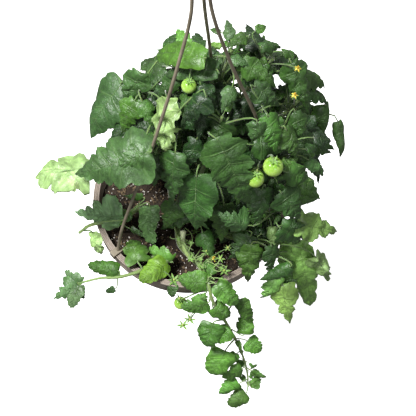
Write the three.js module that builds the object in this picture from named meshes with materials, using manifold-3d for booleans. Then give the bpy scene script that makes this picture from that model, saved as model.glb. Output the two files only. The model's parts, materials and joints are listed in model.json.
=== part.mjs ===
// A cherry tomato plant growing in a 10 inch hanging pot with a three-strand hanger.
// Millimetres, +Z up. The pot's front is -Y and the hook's hanging point is the origin.
// Heights below are given above the pot's rim, and the whole basket is lowered at the end.
import * as THREE from "three";
import { mergeVertices } from "three/addons/utils/BufferGeometryUtils.js";
import Module from "manifold-3d";

// Driving dimensions
const RIM_RADIUS = 127;
const LIP_HEIGHT = 4;
const BAND_RADIUS = 124.5;
const BAND_HEIGHT = 28;
const SKIRT_JOINT = 8;
const SKIRT_THICKNESS = 1.9;
const SKIRT_TAPER = 0.4;
const INNER_STEP = 15;
const WALL_TOP_RADIUS = 121;
const BASE_RADIUS = 58;
const POT_HEIGHT = 138;
const WALL = 2;
const BASE_THICKNESS = 3;
const POT_SIDES = 32;
const DRAIN_RADIUS = 6;
const DRAIN_CIRCLE = 34;
const DRAIN_COUNT = 5;

const SOIL_DEPTH = 18;
const SOIL_RELIEF = 3.5;
const SOIL_SIDES = 22;
const SOIL_RINGS = 3;
const SOIL_CLEARANCE = 1.5;
const GAP = 0.3;
const SMALLEST_DETAIL = 0.15;

const STRAND_RADIUS = 2;
const STRAND_FOOT_RADIUS = 119.5;
const CLIP_WIDTH = 9;
const CLIP_LEG = 2.4;
const CLIP_DEPTH = 9;
const CLIP_TOP = 3.4;
const CLIP_HOOK = 2;
const CROWN_HEIGHT = 512;
const CROWN_RADIUS = 13;
const CROWN_THICKNESS = 16;
const SOCKET_RADIUS = STRAND_RADIUS + 0.9;
const HOOK_WIRE_RADIUS = 2.5;
const HOOK_BEND = 13;
const HOOK_CENTRE = 556;
const HANG_HEIGHT = HOOK_CENTRE + HOOK_BEND - HOOK_WIRE_RADIUS;

const BLADE_HALF_THICKNESS = 0.7;
const STEM_FOOT_RADIUS = 4.2;
const STEM_TIP_RADIUS = 1.5;
const STEM_SIDES = 5;
const ROOT_HOLE_RADIUS = STEM_FOOT_RADIUS + 1.2;
const RACHIS_RADIUS = 1.5;
const RACHIS_TIP_RADIUS = 1.0;
const LEAF_TRIES = 14;

// The middle of the bush, which its leaves face away from, and the way the light comes
const CORE = new THREE.Vector3(35, 15, 110);
const LIGHT = new THREE.Vector3(-0.1, -0.35, 0.9);
const OUTWARD_SHARE = 0.45;

// The bush's middle and half sizes, which the leaves placed by rule stay inside
const BUSH_MIDDLE = new THREE.Vector3(40, 50, 60);
const BUSH_REACH = new THREE.Vector3(115, 148, 245);

const wasm = await Module();
wasm.setup();

// Materials, one colour for each kind of surface
const finish = (color, roughness) =>
  new THREE.MeshStandardMaterial({ color, roughness, metalness: 0, side: THREE.DoubleSide });
const PLASTIC = { color: 0x8d7c70, roughness: 0.55 };
const SOIL = { color: 0x2c1c14, roughness: 0.95 };
const FRUIT = { color: 0x8fc04a, roughness: 0.25 };
const PETAL = { color: 0xf2d22e, roughness: 0.6 };
const LEAF = { color: 0x2f5d34, roughness: 0.6 };

// The strands as they hang: the clip's place round the rim, and points on the way up to the crown
const STRANDS = {
  left: { clip: 222, way: [[-84, -73, 45], [-45, -43, 220], [-18, -21, 365], [-6, -10, 449]] },
  right: { clip: 350, way: [[112, -19, 50], [80, -10, 220], [39, -5, 350], [15, -5, 449]] },
  back: { clip: 74, way: [[31, 104, 60], [16, 53, 295], [8, 30, 400]] },
};

// Each leafy stem: its path from the root up, and how many leaves fill it out by rule
const STEMS = {
  left_high: { path: [[-22, 10, -45], [-28, 5, 60], [-36, -15, 150], [-62, -30, 205]], fill: 1 },
  left_back: { path: [[-32, 38, -45], [-42, 52, 60], [-56, 58, 140], [-68, 52, 190]], fill: 2 },
  centre_left: { path: [[-10, 25, -45], [-12, 16, 80], [-14, 2, 160], [-26, -8, 222]], fill: 1 },
  back_left: { path: [[-8, 48, -45], [-12, 62, 100], [-6, 62, 200], [-2, 50, 262]], fill: 2 },
  top: { path: [[12, 36, -45], [20, 46, 100], [30, 50, 210], [42, 55, 284]], fill: 1 },
  back_right: { path: [[30, 46, -45], [48, 62, 90], [72, 72, 190], [92, 62, 258]], fill: 2 },
  right_top: { path: [[42, 26, -45], [70, 34, 80], [106, 36, 160], [128, 34, 216]], fill: 2 },
  centre: { path: [[6, 6, -45], [14, -4, 80], [24, -12, 170], [34, -14, 248]], fill: 0 },
  right: { path: [[26, 8, -45], [56, -4, 60], [84, -18, 140], [106, -26, 212]], fill: 1 },
  right_low: { path: [[30, -14, -45], [58, -28, 20], [90, -46, 70], [120, -56, 92]], fill: 1 },
  front_right: { path: [[14, -26, -45], [40, -54, 10], [78, -76, 36], [126, -88, 14]], fill: 0 },
  back_low: { path: [[6, 66, -45], [2, 92, 25], [-6, 122, 38], [-14, 150, -18]], fill: 3 },
  right_back: { path: [[52, 50, -45], [80, 72, 30], [112, 88, 55], [142, 98, 20]], fill: 3 },
  left_low: {
    path: [[-50, 6, -45], [-68, -20, 0], [-92, -40, 12], [-126, -50, 11], [-142, -53, -8]],
    fill: 0,
  },
  left_vine: {
    path: [
      [-30, -58, -40], [-42, -90, 2], [-52, -108, 9], [-84, -120, 8], [-108, -121, 4], [-133, -126, -2],
    ],
    fill: 0,
  },
  front_vine: {
    path: [
      [-8, -16, -42], [-12, -40, 2], [-8, -66, -4], [18, -98, 5], [29, -122, 11], [36, -142, 0],
      [46, -148, -28], [57, -152, -56], [67, -157, -84], [77, -164, -112], [86, -174, -138],
      [92, -187, -158], [94, -202, -170],
    ],
    fill: 0,
  },
};

// Leaves placed by hand: the stem, where along it the leaf grows, the end leaflet's base and
// tip, its width over its length, and the pairs of leaflets behind it
const LEAVES = [
  ["left_high", 1.0, [-46, -50, 225], [-140, -70, 160], 0.66, 1],
  ["left_high", 0.7, [-125, -38, 146], [-192, -38, 128], 0.9, 0],
  ["left_high", 0.6, [-138, -52, 140], [-144, -64, 128], 0.7, 0],
  ["left_back", 0.7, [-90, 69, 175], [-130, 25, 108], 0.72, 0],
  ["left_back", 1.0, [-58, 48, 226], [-95, 44, 150], 0.5, 0],
  ["left_back", 0.8, [-70, 30, 200], [-86, 10, 150], 0.6, 0],
  ["left_back", 0.9, [-60, 15, 225], [-45, -10, 208], 0.8, 0],
  ["centre_left", 0.9, [-35, 15, 236], [-35, -30, 165], 0.42, 0],
  ["centre_left", 0.8, [-18, -44, 210], [-20, -80, 140], 0.5, 0],
  ["centre_left", 0.68, [-42, -36, 190], [-42, -58, 140], 0.55, 0],
  ["centre_left", 1.0, [12, 0, 280], [-15, -26, 235], 0.75, 1],
  ["centre_left", 0.58, [-15, -60, 110], [-30, -76, 62], 0.6, 0],
  ["back_left", 1.0, [10, 28, 306], [-51, 74, 228], 0.46, 0],
  ["back_left", 0.9, [20, 14, 290], [-40, 26, 250], 0.5, 1],
  ["back_left", 0.8, [-10, 66, 275], [-24, 92, 268], 0.7, 0],
  ["back_left", 0.7, [-40, 103, 165], [-71, 135, 110], 0.6, 1],
  ["top", 1.0, [40, 58, 300], [34, 88, 300], 0.55, 0],
  ["top", 0.8, [52, 66, 296], [34, 42, 302], 0.55, 0],
  ["top", 0.95, [28, 69, 298], [15, 74, 296], 0.7, 0],
  ["top", 0.85, [30, 55, 290], [15, 63, 284], 0.6, 0],
  ["top", 0.58, [46, 60, 290], [66, 92, 268], 0.6, 0],
  ["top", 0.68, [40, 36, 296], [66, 28, 292], 0.6, 0],
  ["top", 0.9, [56, 34, 298], [96, 18, 272], 0.6, 1],
  ["back_right", 0.9, [66, 80, 280], [80, 92, 276], 0.8, 0],
  ["back_right", 1.0, [76, 60, 286], [104, 78, 262], 0.62, 0],
  ["back_right", 0.8, [102, 60, 276], [124, 64, 258], 0.6, 0],
  ["back_right", 0.68, [125, 50, 246], [162, 61, 198], 0.6, 1],
  ["back_right", 0.58, [100, 110, 190], [135, 140, 130], 0.6, 1],
  ["right_top", 0.9, [106, 54, 266], [140, 16, 215], 0.5, 1],
  ["right_top", 0.8, [132, 40, 230], [166, 50, 190], 0.6, 0],
  ["right_top", 0.68, [160, 40, 195], [162, 14, 158], 0.85, 0],
  ["right_top", 0.58, [180, 36, 160], [190, 14, 105], 0.3, 0],
  ["right", 1.0, [74, 8, 284], [104, 2, 250], 0.62, 0],
  ["centre", 0.68, [25, -36, 250], [70, -82, 150], 0.66, 1],
  ["centre", 0.9, [60, -15, 276], [56, -46, 234], 0.75, 1],
  ["centre", 0.58, [8, -58, 180], [10, -92, 95], 0.7, 0],
  ["centre", 0.5, [46, -58, 110], [44, -88, 50], 0.7, 0],
  ["centre", 0.74, [40, -14, 240], [16, -34, 196], 0.7, 0],
  ["centre", 0.7, [6, -28, 216], [-4, -48, 176], 0.6, 0],
  ["top", 0.9, [50, 28, 282], [30, 2, 266], 0.65, 0],
  ["top", 0.8, [8, 16, 268], [28, -6, 248], 0.7, 0],
  ["right", 1.0, [86, -16, 256], [101, -42, 212], 0.7, 1],
  ["right", 0.9, [120, 4, 236], [131, -16, 198], 0.6, 0],
  ["right", 0.8, [110, -20, 235], [126, -36, 192], 0.7, 1],
  ["right", 0.68, [116, -50, 186], [146, -40, 150], 0.75, 1],
  ["right", 0.58, [142, -26, 175], [167, -30, 138], 0.5, 0],
  ["right", 0.54, [137, -31, 120], [166, -41, 95], 0.75, 1],
  ["right_low", 1.0, [112, -60, 150], [140, -72, 100], 0.7, 1],
  ["right_low", 0.8, [116, -80, 92], [152, -70, 40], 0.65, 1],
  ["right_low", 0.7, [140, -68, 80], [192, -56, 38], 0.6, 1],
  ["right_low", 0.9, [74, -84, 106], [30, -80, 130], 0.75, 0],
  ["right_low", 0.8, [88, -56, 150], [84, -82, 98], 0.65, 1],
  ["right", 0.6, [70, -50, 164], [90, -62, 120], 0.65, 0],
  ["front_right", 0.4, [80, -78, 60], [54, -98, 22], 0.7, 0],
  ["front_right", 0.6, [108, -86, 50], [106, -108, 5], 0.6, 0],
  ["front_right", 1.0, [83, -87, 50], [82, -119, -12], 0.5, 0],
  ["front_right", 0.9, [129, -95, 22], [90, -114, -6], 0.4, 0],
  ["front_right", 0.8, [146, -62, 10], [172, -106, -90], 0.48, 1],
  ["front_right", 0.68, [170, -78, 0], [196, -90, -60], 0.6, 0],
  ["front_right", 0.58, [130, -102, -40], [146, -136, -100], 0.62, 1],
  ["front_right", 0.5, [148, -86, -24], [156, -112, -82], 0.42, 0],
  ["left_low", 0.6, [-86, -34, 30], [-152, -30, 12], 0.62, 1],
  ["left_low", 0.4, [-50, -26, 26], [-46, -72, 6], 0.65, 0],
  ["left_low", 0.7, [-78, -48, 24], [-104, -30, 8], 0.6, 0],
  ["left_low", 0.95, [-124, -56, 0], [-112, -78, -22], 0.6, 0],
  ["left_vine", 0.42, [-62, -100, 16], [-72, -70, 12], 1.0, 0],
  ["left_vine", 0.25, [-18, -94, 6], [-42, -84, 12], 0.8, 0],
  ["left_vine", 0.3, [-24, -98, 12], [-54, -124, 14], 0.7, 0],
  ["left_vine", 1.0, [-138, -128, -2], [-165, -145, -10], 0.8, 1],
  ["left_vine", 0.6, [-86, -114, 14], [-123, -108, 12], 0.5, 0],
  ["left_vine", 0.62, [-90, -131, -6], [-101, -134, -10], 0.7, 0],
  ["front_vine", 0.3, [27, -125, 15], [-6, -123, 13], 0.8, 0],
  ["front_vine", 0.28, [33, -117, 20], [25, -102, 25], 0.9, 0],
  ["front_vine", 0.38, [30, -145, -6], [0, -149, -18], 0.8, 0],
  ["front_vine", 0.42, [39, -150, -12], [60, -154, -28], 0.85, 0],
  ["front_vine", 0.33, [41, -126, 12], [67, -143, -8], 0.65, 0],
  ["front_vine", 0.55, [73, -132, -22], [88, -146, -55], 0.5, 0],
  ["front_vine", 0.56, [39, -158, -46], [32, -179, -72], 0.85, 0],
  ["front_vine", 0.6, [63, -160, -60], [44, -174, -64], 0.9, 0],
  ["front_vine", 0.7, [58, -175, -104], [42, -199, -126], 0.95, 0],
  ["front_vine", 0.86, [83, -188, -136], [60, -200, -142], 0.85, 0],
  ["front_vine", 0.95, [80, -203, -156], [57, -215, -166], 0.85, 0],
  ["front_vine", 1.0, [91, -210, -176], [70, -224, -186], 0.8, 0],
  ["front_vine", 0.63, [82, -159, -78], [83, -137, -58], 0.75, 0],
  ["front_vine", 0.7, [88, -162, -96], [106, -171, -106], 0.95, 0],
  ["front_vine", 0.78, [74, -174, -116], [64, -184, -122], 0.95, 0],
  ["front_vine", 0.88, [98, -187, -146], [116, -192, -156], 0.5, 0],
  ["front_vine", 0.98, [101, -203, -170], [107, -190, -162], 0.9, 0],
];

// Fruits: the stem, where its stalk leaves the stem, the fruit's top and its radius
const FRUITS = [
  ["back_left", 0.9, [-8, 12, 268], 9],
  ["right", 0.75, [98, -52, 214], 12],
  ["right", 0.7, [80, -58, 203], 11],
  ["right_low", 0.6, [66, -66, 84], 10],
  ["front_vine", 0.35, [-4, -138, -20], 8.5],
  ["right_back", 0.7, [128, 108, 26], 11],
  ["back_low", 0.6, [-40, 126, 12], 10],
];

// Flowers: the stem, where the flower's stalk leaves it, and the flower's centre
const FLOWERS = [
  ["front_vine", 0.25, [36, -94, 22]],
  ["right_top", 0.9, [116, 7, 270]],
  ["back_right", 0.9, [118, 33, 286]],
];

// A random stream that gives the same draws on every run
function randomStream(seed) {
  let state = seed >>> 0;
  return () => {
    state = (state + 0x6d2b79f5) | 0;
    let t = Math.imul(state ^ (state >>> 15), 1 | state);
    t = (t + Math.imul(t ^ (t >>> 7), 61 | t)) ^ t;
    return ((t ^ (t >>> 14)) >>> 0) / 4294967296;
  };
}

const vec = (p) => new THREE.Vector3(...p);
const mix = (a, b, t) => a.clone().lerp(b, t);

function bezier(a, control, b, t) {
  return mix(mix(a, control, t), mix(control, b, t), t);
}

// Solids
function solidOf(geometry) {
  const bare = geometry.clone();
  bare.deleteAttribute("normal");
  bare.deleteAttribute("uv");
  const merged = mergeVertices(bare, 1e-4);
  return new wasm.Manifold(
    new wasm.Mesh({
      numProp: 3,
      vertProperties: new Float32Array(merged.attributes.position.array),
      triVerts: new Uint32Array(merged.index.array),
    }),
  );
}

function solidFrom(points, triangles) {
  const vertProperties = new Float32Array(points.flatMap((p) => [p.x, p.y, p.z]));
  return new wasm.Manifold(
    new wasm.Mesh({ numProp: 3, vertProperties, triVerts: new Uint32Array(triangles.flat()) }),
  );
}

function geometryOf(solid) {
  const mesh = solid.getMesh();
  const position = new Float32Array(mesh.numVert * 3);
  for (let i = 0; i < mesh.numVert; i++) {
    const start = i * mesh.numProp;
    position.set(mesh.vertProperties.subarray(start, start + 3), i * 3);
  }
  const geometry = new THREE.BufferGeometry();
  geometry.setAttribute("position", new THREE.BufferAttribute(position, 3));
  geometry.setIndex(new THREE.BufferAttribute(new Uint32Array(mesh.triVerts), 1));
  geometry.computeVertexNormals();
  return geometry;
}

function meshOf(name, solid, look) {
  const mesh = new THREE.Mesh(geometryOf(solid), finish(look.color, look.roughness));
  mesh.name = name;
  return mesh;
}

const union = (solids) => wasm.Manifold.union(solids);

// The one body that a fused node keeps: a hollow that fusing sealed is filled by leaving its
// wall out, and so is a loose scrap
function mainBody(solid) {
  const bodies = solid.decompose();
  return bodies.reduce((most, body) => (body.volume() > most.volume() ? body : most));
}

// A closed tube through the points, whose radius changes evenly from foot to tip
function taperedTube(points, footRadius, tipRadius, sides) {
  const ring = [];
  const triangles = [];
  const last = points.length - 1;
  let across = new THREE.Vector3(1, 0, 0);
  points.forEach((point, i) => {
    const along = points[Math.min(i + 1, last)].clone().sub(points[Math.max(i - 1, 0)]).normalize();
    if (i === 0 && Math.abs(along.x) > 0.9) across.set(0, 1, 0);
    across = across.clone().addScaledVector(along, -across.dot(along)).normalize();
    const other = along.clone().cross(across);
    const radius = footRadius + ((tipRadius - footRadius) * i) / last;
    for (let k = 0; k < sides; k++) {
      const angle = (2 * Math.PI * k) / sides;
      ring.push(
        point
          .clone()
          .addScaledVector(across, radius * Math.cos(angle))
          .addScaledVector(other, radius * Math.sin(angle)),
      );
    }
  });
  for (let i = 0; i < last; i++) {
    for (let k = 0; k < sides; k++) {
      const a = i * sides + k;
      const b = i * sides + ((k + 1) % sides);
      triangles.push([a, b, b + sides], [a, b + sides, a + sides]);
    }
  }
  for (let k = 1; k < sides - 1; k++) {
    triangles.push([0, k + 1, k]);
    triangles.push([last * sides, last * sides + k, last * sides + k + 1]);
  }
  return solidFrom(ring, triangles);
}

function stemCurve(path) {
  return new THREE.CatmullRomCurve3(path.map(vec), false, "catmullrom", 0.5);
}

// Leaf blades. A half outline as [place along the midrib, share of the half width], from
// the stalk to the tip, with the notch that a tomato leaflet has in its side
const OUTLINES = {
  large: [
    [0.03, 0.5], [0.14, 0.9], [0.3, 1.0], [0.42, 0.74], [0.55, 0.82], [0.72, 0.46], [0.84, 0.34],
  ],
  middle: [[0.05, 0.62], [0.24, 1.0], [0.42, 0.78], [0.58, 0.8], [0.8, 0.38]],
  small: [[0.08, 0.8], [0.36, 1.0], [0.7, 0.66]],
};
const LARGE_BLADE = 85;
const MIDDLE_BLADE = 48;
const MIDRIB = [0.34, 0.68];

const outlineFor = (length) =>
  length > LARGE_BLADE ? OUTLINES.large : length > MIDDLE_BLADE ? OUTLINES.middle : OUTLINES.small;

// One leaflet and its stalk as a single strip: rings of four corners along the stalk, then an
// arched blade, folded along its midrib and as thin as a knife at its edge. A stalk of one
// point starts as a spike, which sinks into what carries it
function leaflet({ stalk, base, tip, up, wide, arch, fold }) {
  const along = tip.clone().sub(base);
  const length = along.length();
  const d = along.clone().normalize();
  const side = d.clone().cross(up).normalize();
  const n = side.clone().cross(d);
  const half = BLADE_HALF_THICKNESS;
  const rise = (u) => arch * length * 4 * u * (1 - u);
  const rib = (u) => base.clone().addScaledVector(along, u).addScaledVector(n, rise(u));
  const points = [];
  const add = (p) => points.push(p) - 1;
  const upper = [];
  const lower = [];
  const left = [];
  const right = [];
  const ring = (u, centre, across, out, reach) => {
    upper.push([u, add(centre.clone().addScaledVector(out, reach))]);
    lower.push([u, add(centre.clone().addScaledVector(out, -reach))]);
    left.push([u, add(centre.clone().addScaledVector(across, -reach))]);
    right.push([u, add(centre.clone().addScaledVector(across, reach))]);
  };
  ring(0, base, side, n, half);
  let across = side;
  for (let i = stalk.length - 1; i >= 0; i--) {
    const u = i - stalk.length;
    const centre = stalk[i];
    if (stalk.length === 1) {
      const start = add(centre.clone());
      for (const line of [upper, lower, left, right]) line.unshift([u, start]);
      break;
    }
    const tangent = (stalk[i + 1] ?? base).clone().sub(stalk[Math.max(i - 1, 0)]).normalize();
    across = across.clone().addScaledVector(tangent, -across.dot(tangent)).normalize();
    const out = across.clone().cross(tangent);
    const reach = RACHIS_TIP_RADIUS + ((RACHIS_RADIUS - RACHIS_TIP_RADIUS) * -u) / stalk.length;
    const lines = [upper, lower, left, right];
    const kept = lines.map((line) => line.splice(0));
    ring(u, centre, across, out, reach);
    lines.forEach((line, k) => line.push(...kept[k]));
  }
  for (const u of MIDRIB) {
    upper.push([u, add(rib(u).addScaledVector(n, half))]);
    lower.push([u, add(rib(u).addScaledVector(n, -half))]);
  }
  for (const [u, share] of outlineFor(length)) {
    const reach = share * wide * length * 0.5;
    const edge = rib(u).addScaledVector(n, -reach * Math.sin(fold));
    left.push([u, add(edge.clone().addScaledVector(side, -reach * Math.cos(fold)))]);
    right.push([u, add(edge.clone().addScaledVector(side, reach * Math.cos(fold)))]);
  }
  const end = add(tip.clone());
  for (const line of [upper, lower, left, right]) line.push([1, end]);
  const triangles = [];
  const strip = (edge, middle, turned) => {
    let i = 0;
    let j = 0;
    while (i < edge.length - 1 || j < middle.length - 1) {
      const middleDone = j === middle.length - 1;
      const onEdge = middleDone || (i < edge.length - 1 && edge[i + 1][0] <= middle[j + 1][0]);
      const a = edge[i][1];
      const b = middle[j][1];
      const c = onEdge ? edge[++i][1] : middle[++j][1];
      if (a !== b && b !== c && a !== c) triangles.push(turned ? [a, b, c] : [a, c, b]);
    }
  };
  strip(right, upper, false);
  strip(left, upper, true);
  strip(right, lower, true);
  strip(left, lower, false);
  if (stalk.length > 1) {
    const [top, bottom, a, b] = [upper, lower, left, right].map((line) => line[0][1]);
    triangles.push([b, top, a], [b, a, bottom]);
  }
  return solidFrom(points, triangles);
}

// The way a blade faces at a place on the bush: towards the light, and a little out
function facing(point) {
  const out = point.clone().sub(CORE).normalize();
  return out.multiplyScalar(OUTWARD_SHARE).add(LIGHT).normalize();
}

const LEAFLET_SPREAD = 1.15;
const STALK_SHARE = 0.14;
const STALK_STEPS = 3;

// A compound leaf: a stalk from the stem with an end leaflet, and pairs of leaflets behind it
function leafSolids({ foot, base, tip, wide, pairs, roll, random }) {
  const reach = base.distanceTo(foot);
  const d = tip.clone().sub(base).normalize();
  const up = facing(mix(base, tip, 0.5)).applyAxisAngle(d, roll);
  const rising = mix(foot, base, 0.35);
  rising.z += 0.2 * reach;
  const arriving = base.clone().addScaledVector(d, -0.35 * reach);
  const path = new THREE.CubicBezierCurve3(foot, rising, arriving, base);
  const stalk = [];
  for (let i = 0; i < STALK_STEPS; i++) stalk.push(path.getPoint(i / STALK_STEPS));
  const bend = () => ({ arch: 0.06 + 0.08 * random(), fold: 0.1 + 0.4 * random() });
  const shape = { base, tip, up, wide, ...bend() };
  const main = leaflet({ stalk, ...shape });
  const blade = leaflet({ stalk: [mix(stalk[STALK_STEPS - 1], base, 0.7)], ...shape });
  const length = base.distanceTo(tip);
  const leaflets = [];
  for (let pair = 0; pair < pairs; pair++) {
    const place = 0.8 - 0.28 * pair;
    const root = path.getPoint(place);
    const ahead = path.getPoint(place + 0.05).sub(root).normalize();
    const across = ahead.clone().cross(up).normalize();
    for (const hand of [-1, 1]) {
      const size = Math.min(length, 80) * (0.5 + 0.2 * random());
      const angle = LEAFLET_SPREAD + 0.3 * (random() - 0.5);
      const heading = ahead
        .clone()
        .multiplyScalar(Math.cos(angle))
        .addScaledVector(across, hand * Math.sin(angle));
      const start = root.clone().addScaledVector(heading, size * STALK_SHARE);
      heading.z -= 0.25 + 0.4 * random();
      const end = start.clone().addScaledVector(heading.normalize(), size);
      const width = 0.6 + 0.12 * random();
      leaflets.push(leaflet({ stalk: [root], base: start, tip: end, up, wide: width, ...bend() }));
    }
  }
  return { main, blade, leaflets };
}

// One try at a hand-placed leaf. The first is as listed, and later ones stray further
function listedLeaf([stem, at, base, tip, wide, pairs], index, attempt) {
  const random = randomStream(1000 + index * 50 + attempt);
  const stray = () => (random() - 0.5) * (attempt === 0 ? 0 : 4 + 3 * attempt);
  const turn = (random() - 0.5) * (0.3 + 0.08 * attempt);
  return {
    foot: curves[stem].getPoint(at),
    base: vec(base).add(vec([stray(), stray(), stray()])),
    tip: vec(tip).add(vec([stray(), stray(), stray()])),
    wide,
    pairs,
    roll: turn,
    random,
  };
}

// One try at a leaf that fills out a stem, on the side of it that faces out
function fillLeaf(stem, order, attempt) {
  const random = randomStream(9000 + stemNames.indexOf(stem) * 700 + order * 50 + attempt);
  const foot = curves[stem].getPoint(0.4 + 0.58 * random());
  const outward = Math.atan2(foot.y - CORE.y, foot.x - CORE.x);
  const azimuth = outward + (random() - 0.5) * 2.4;
  const reach = 30 + 40 * random();
  const climb = 0.1 + 0.6 * random();
  const base = foot.clone().add(vec([Math.cos(azimuth) * reach, Math.sin(azimuth) * reach, climb * reach]));
  const bend = azimuth + (random() - 0.5) * 0.8;
  const drop = 0.2 + 0.9 * random();
  const length = 50 + 38 * random();
  const heading = vec([Math.cos(bend), Math.sin(bend), -drop]).normalize();
  return {
    foot,
    base,
    tip: base.clone().addScaledVector(heading, length),
    wide: 0.58 + 0.14 * random(),
    pairs: random() < 0.4 ? 2 : 1,
    roll: (random() - 0.5) * 0.6,
    random,
  };
}

// Leaves placed by rule keep the bush's outline, and leave the front left of the pot open
function keepsOutline({ base, tip }) {
  return [base, tip].every((p) => {
    const overSoil = p.x < 60 && p.y < -15 && p.z < 200;
    return !overSoil && p.clone().sub(BUSH_MIDDLE).divide(BUSH_REACH).length() < 1.08;
  });
}

// Obstacles: every node's solids placed so far, with their boxes
const placed = new Map();

function place(node, solid, blade = null) {
  if (!placed.has(node)) placed.set(node, []);
  placed.get(node).push({ solid, blade, box: solid.boundingBox() });
}

function boxesNear(a, b) {
  for (let k = 0; k < 3; k++) {
    if (a.min[k] > b.max[k] + GAP || b.min[k] > a.max[k] + GAP) return false;
  }
  return true;
}

// Whether a solid stays clear of the other nodes, and its blade of the blades of its own node,
// whose stalks may meet where they leave the stem
function isClear(node, solid, blade = null) {
  const box = solid.boundingBox();
  for (const [other, pieces] of placed) {
    for (const piece of pieces) {
      if (!boxesNear(box, piece.box)) continue;
      if (other !== node) {
        if (solid.minGap(piece.solid, 1) < GAP) return false;
      } else if (blade && piece.blade && blade.minGap(piece.blade, 1) < GAP) {
        return false;
      }
    }
  }
  return true;
}

// Takes the first try that stays clear. Of its side leaflets, those that would cross
// something are left off
function placeLeaf(node, makeTry, allowed = () => true) {
  for (let attempt = 0; attempt < LEAF_TRIES; attempt++) {
    const leaf = makeTry(attempt);
    if (!allowed(leaf)) continue;
    const { main, blade, leaflets } = leafSolids(leaf);
    if (!isClear(node, main, blade)) continue;
    const kept = leaflets.filter((solid) => isClear(node, solid, solid));
    place(node, main, blade);
    kept.forEach((solid) => place(node, solid, solid));
    return true;
  }
  return false;
}

// Pot
function potSolid() {
  const innerTop = WALL_TOP_RADIUS - WALL;
  const profile = [
    [0, -POT_HEIGHT],
    [BASE_RADIUS, -POT_HEIGHT],
    [WALL_TOP_RADIUS - 1, -INNER_STEP],
    [WALL_TOP_RADIUS, -SKIRT_JOINT],
    [BAND_RADIUS - SKIRT_THICKNESS, -SKIRT_JOINT],
    [BAND_RADIUS - SKIRT_THICKNESS - SKIRT_TAPER, -BAND_HEIGHT],
    [BAND_RADIUS - SKIRT_TAPER, -BAND_HEIGHT],
    [BAND_RADIUS, -LIP_HEIGHT],
    [RIM_RADIUS, -LIP_HEIGHT],
    [RIM_RADIUS, 0],
    [innerTop, 0],
    [innerTop - 1, -INNER_STEP],
    [BASE_RADIUS - WALL + 1.6, -POT_HEIGHT + BASE_THICKNESS],
    [0, -POT_HEIGHT + BASE_THICKNESS],
  ].map(([r, z]) => new THREE.Vector2(r, z));
  const body = new THREE.LatheGeometry(profile, POT_SIDES).rotateX(Math.PI / 2);
  let solid = solidOf(body);
  for (let i = 0; i < DRAIN_COUNT; i++) {
    const hole = new THREE.CylinderGeometry(DRAIN_RADIUS, DRAIN_RADIUS, 3 * BASE_THICKNESS, 10);
    hole.rotateX(Math.PI / 2);
    const angle = (2 * Math.PI * i) / DRAIN_COUNT;
    hole.translate(DRAIN_CIRCLE * Math.cos(angle), DRAIN_CIRCLE * Math.sin(angle), -POT_HEIGHT);
    solid = solid.subtract(solidOf(hole));
  }
  return solid;
}

// The inner wall's radius at a height below the rim
function innerRadius(z) {
  const top = [WALL_TOP_RADIUS - WALL - 1, -INNER_STEP];
  const foot = [BASE_RADIUS - WALL + 1.6, -POT_HEIGHT + BASE_THICKNESS];
  const share = (z - top[1]) / (foot[1] - top[1]);
  return top[0] + share * (foot[0] - top[0]);
}

// Soil: fills the pot to its base, with a lumpy top and a plain hole for each stem
function soilSolid() {
  const random = randomStream(77);
  const foot = -POT_HEIGHT + BASE_THICKNESS + GAP;
  const edge = innerRadius(-SOIL_DEPTH) - SOIL_CLEARANCE;
  const points = [new THREE.Vector3(0, 0, -SOIL_DEPTH + 1)];
  const triangles = [];
  for (let i = 1; i <= SOIL_RINGS; i++) {
    for (let k = 0; k < SOIL_SIDES; k++) {
      const angle = (2 * Math.PI * k) / SOIL_SIDES;
      const r = (edge * i) / SOIL_RINGS;
      const lump = i < SOIL_RINGS ? (random() - 0.5) * 2 * SOIL_RELIEF : -1;
      points.push(new THREE.Vector3(r * Math.cos(angle), r * Math.sin(angle), -SOIL_DEPTH + lump));
    }
  }
  const bottomRadius = innerRadius(foot) - SOIL_CLEARANCE;
  for (let k = 0; k < SOIL_SIDES; k++) {
    const angle = (2 * Math.PI * k) / SOIL_SIDES;
    points.push(new THREE.Vector3(bottomRadius * Math.cos(angle), bottomRadius * Math.sin(angle), foot));
  }
  const bottom = points.push(new THREE.Vector3(0, 0, foot)) - 1;
  for (let k = 0; k < SOIL_SIDES; k++) {
    const next = (k + 1) % SOIL_SIDES;
    triangles.push([0, 1 + k, 1 + next]);
    for (let i = 0; i < SOIL_RINGS; i++) {
      const a = 1 + i * SOIL_SIDES;
      triangles.push([a + k, a + SOIL_SIDES + k, a + SOIL_SIDES + next]);
      triangles.push([a + k, a + SOIL_SIDES + next, a + next]);
    }
    const a = 1 + SOIL_RINGS * SOIL_SIDES;
    triangles.push([bottom, a + next, a + k]);
  }
  return solidFrom(points, triangles);
}

// Hanger
function roundSection(radius, sides) {
  const shape = new THREE.Shape();
  for (let k = 0; k < sides; k++) {
    const angle = (2 * Math.PI * k) / sides;
    const method = k === 0 ? "moveTo" : "lineTo";
    shape[method](radius * Math.cos(angle), radius * Math.sin(angle));
  }
  shape.closePath();
  return shape;
}

function rod(curve, radius, sides, steps) {
  const section = roundSection(radius, sides);
  return solidOf(new THREE.ExtrudeGeometry(section, { extrudePath: curve, steps, bevelEnabled: false }));
}

function strandPoints({ clip, way }) {
  const angle = THREE.MathUtils.degToRad(clip);
  const foot = [STRAND_FOOT_RADIUS * Math.cos(angle), STRAND_FOOT_RADIUS * Math.sin(angle), 2];
  const seat = [6.5 * Math.cos(angle), 6.5 * Math.sin(angle), CROWN_HEIGHT + 7];
  const below = [8.5 * Math.cos(angle), 8.5 * Math.sin(angle), CROWN_HEIGHT - 6];
  return [foot, ...way, below, seat].map(vec);
}

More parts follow.
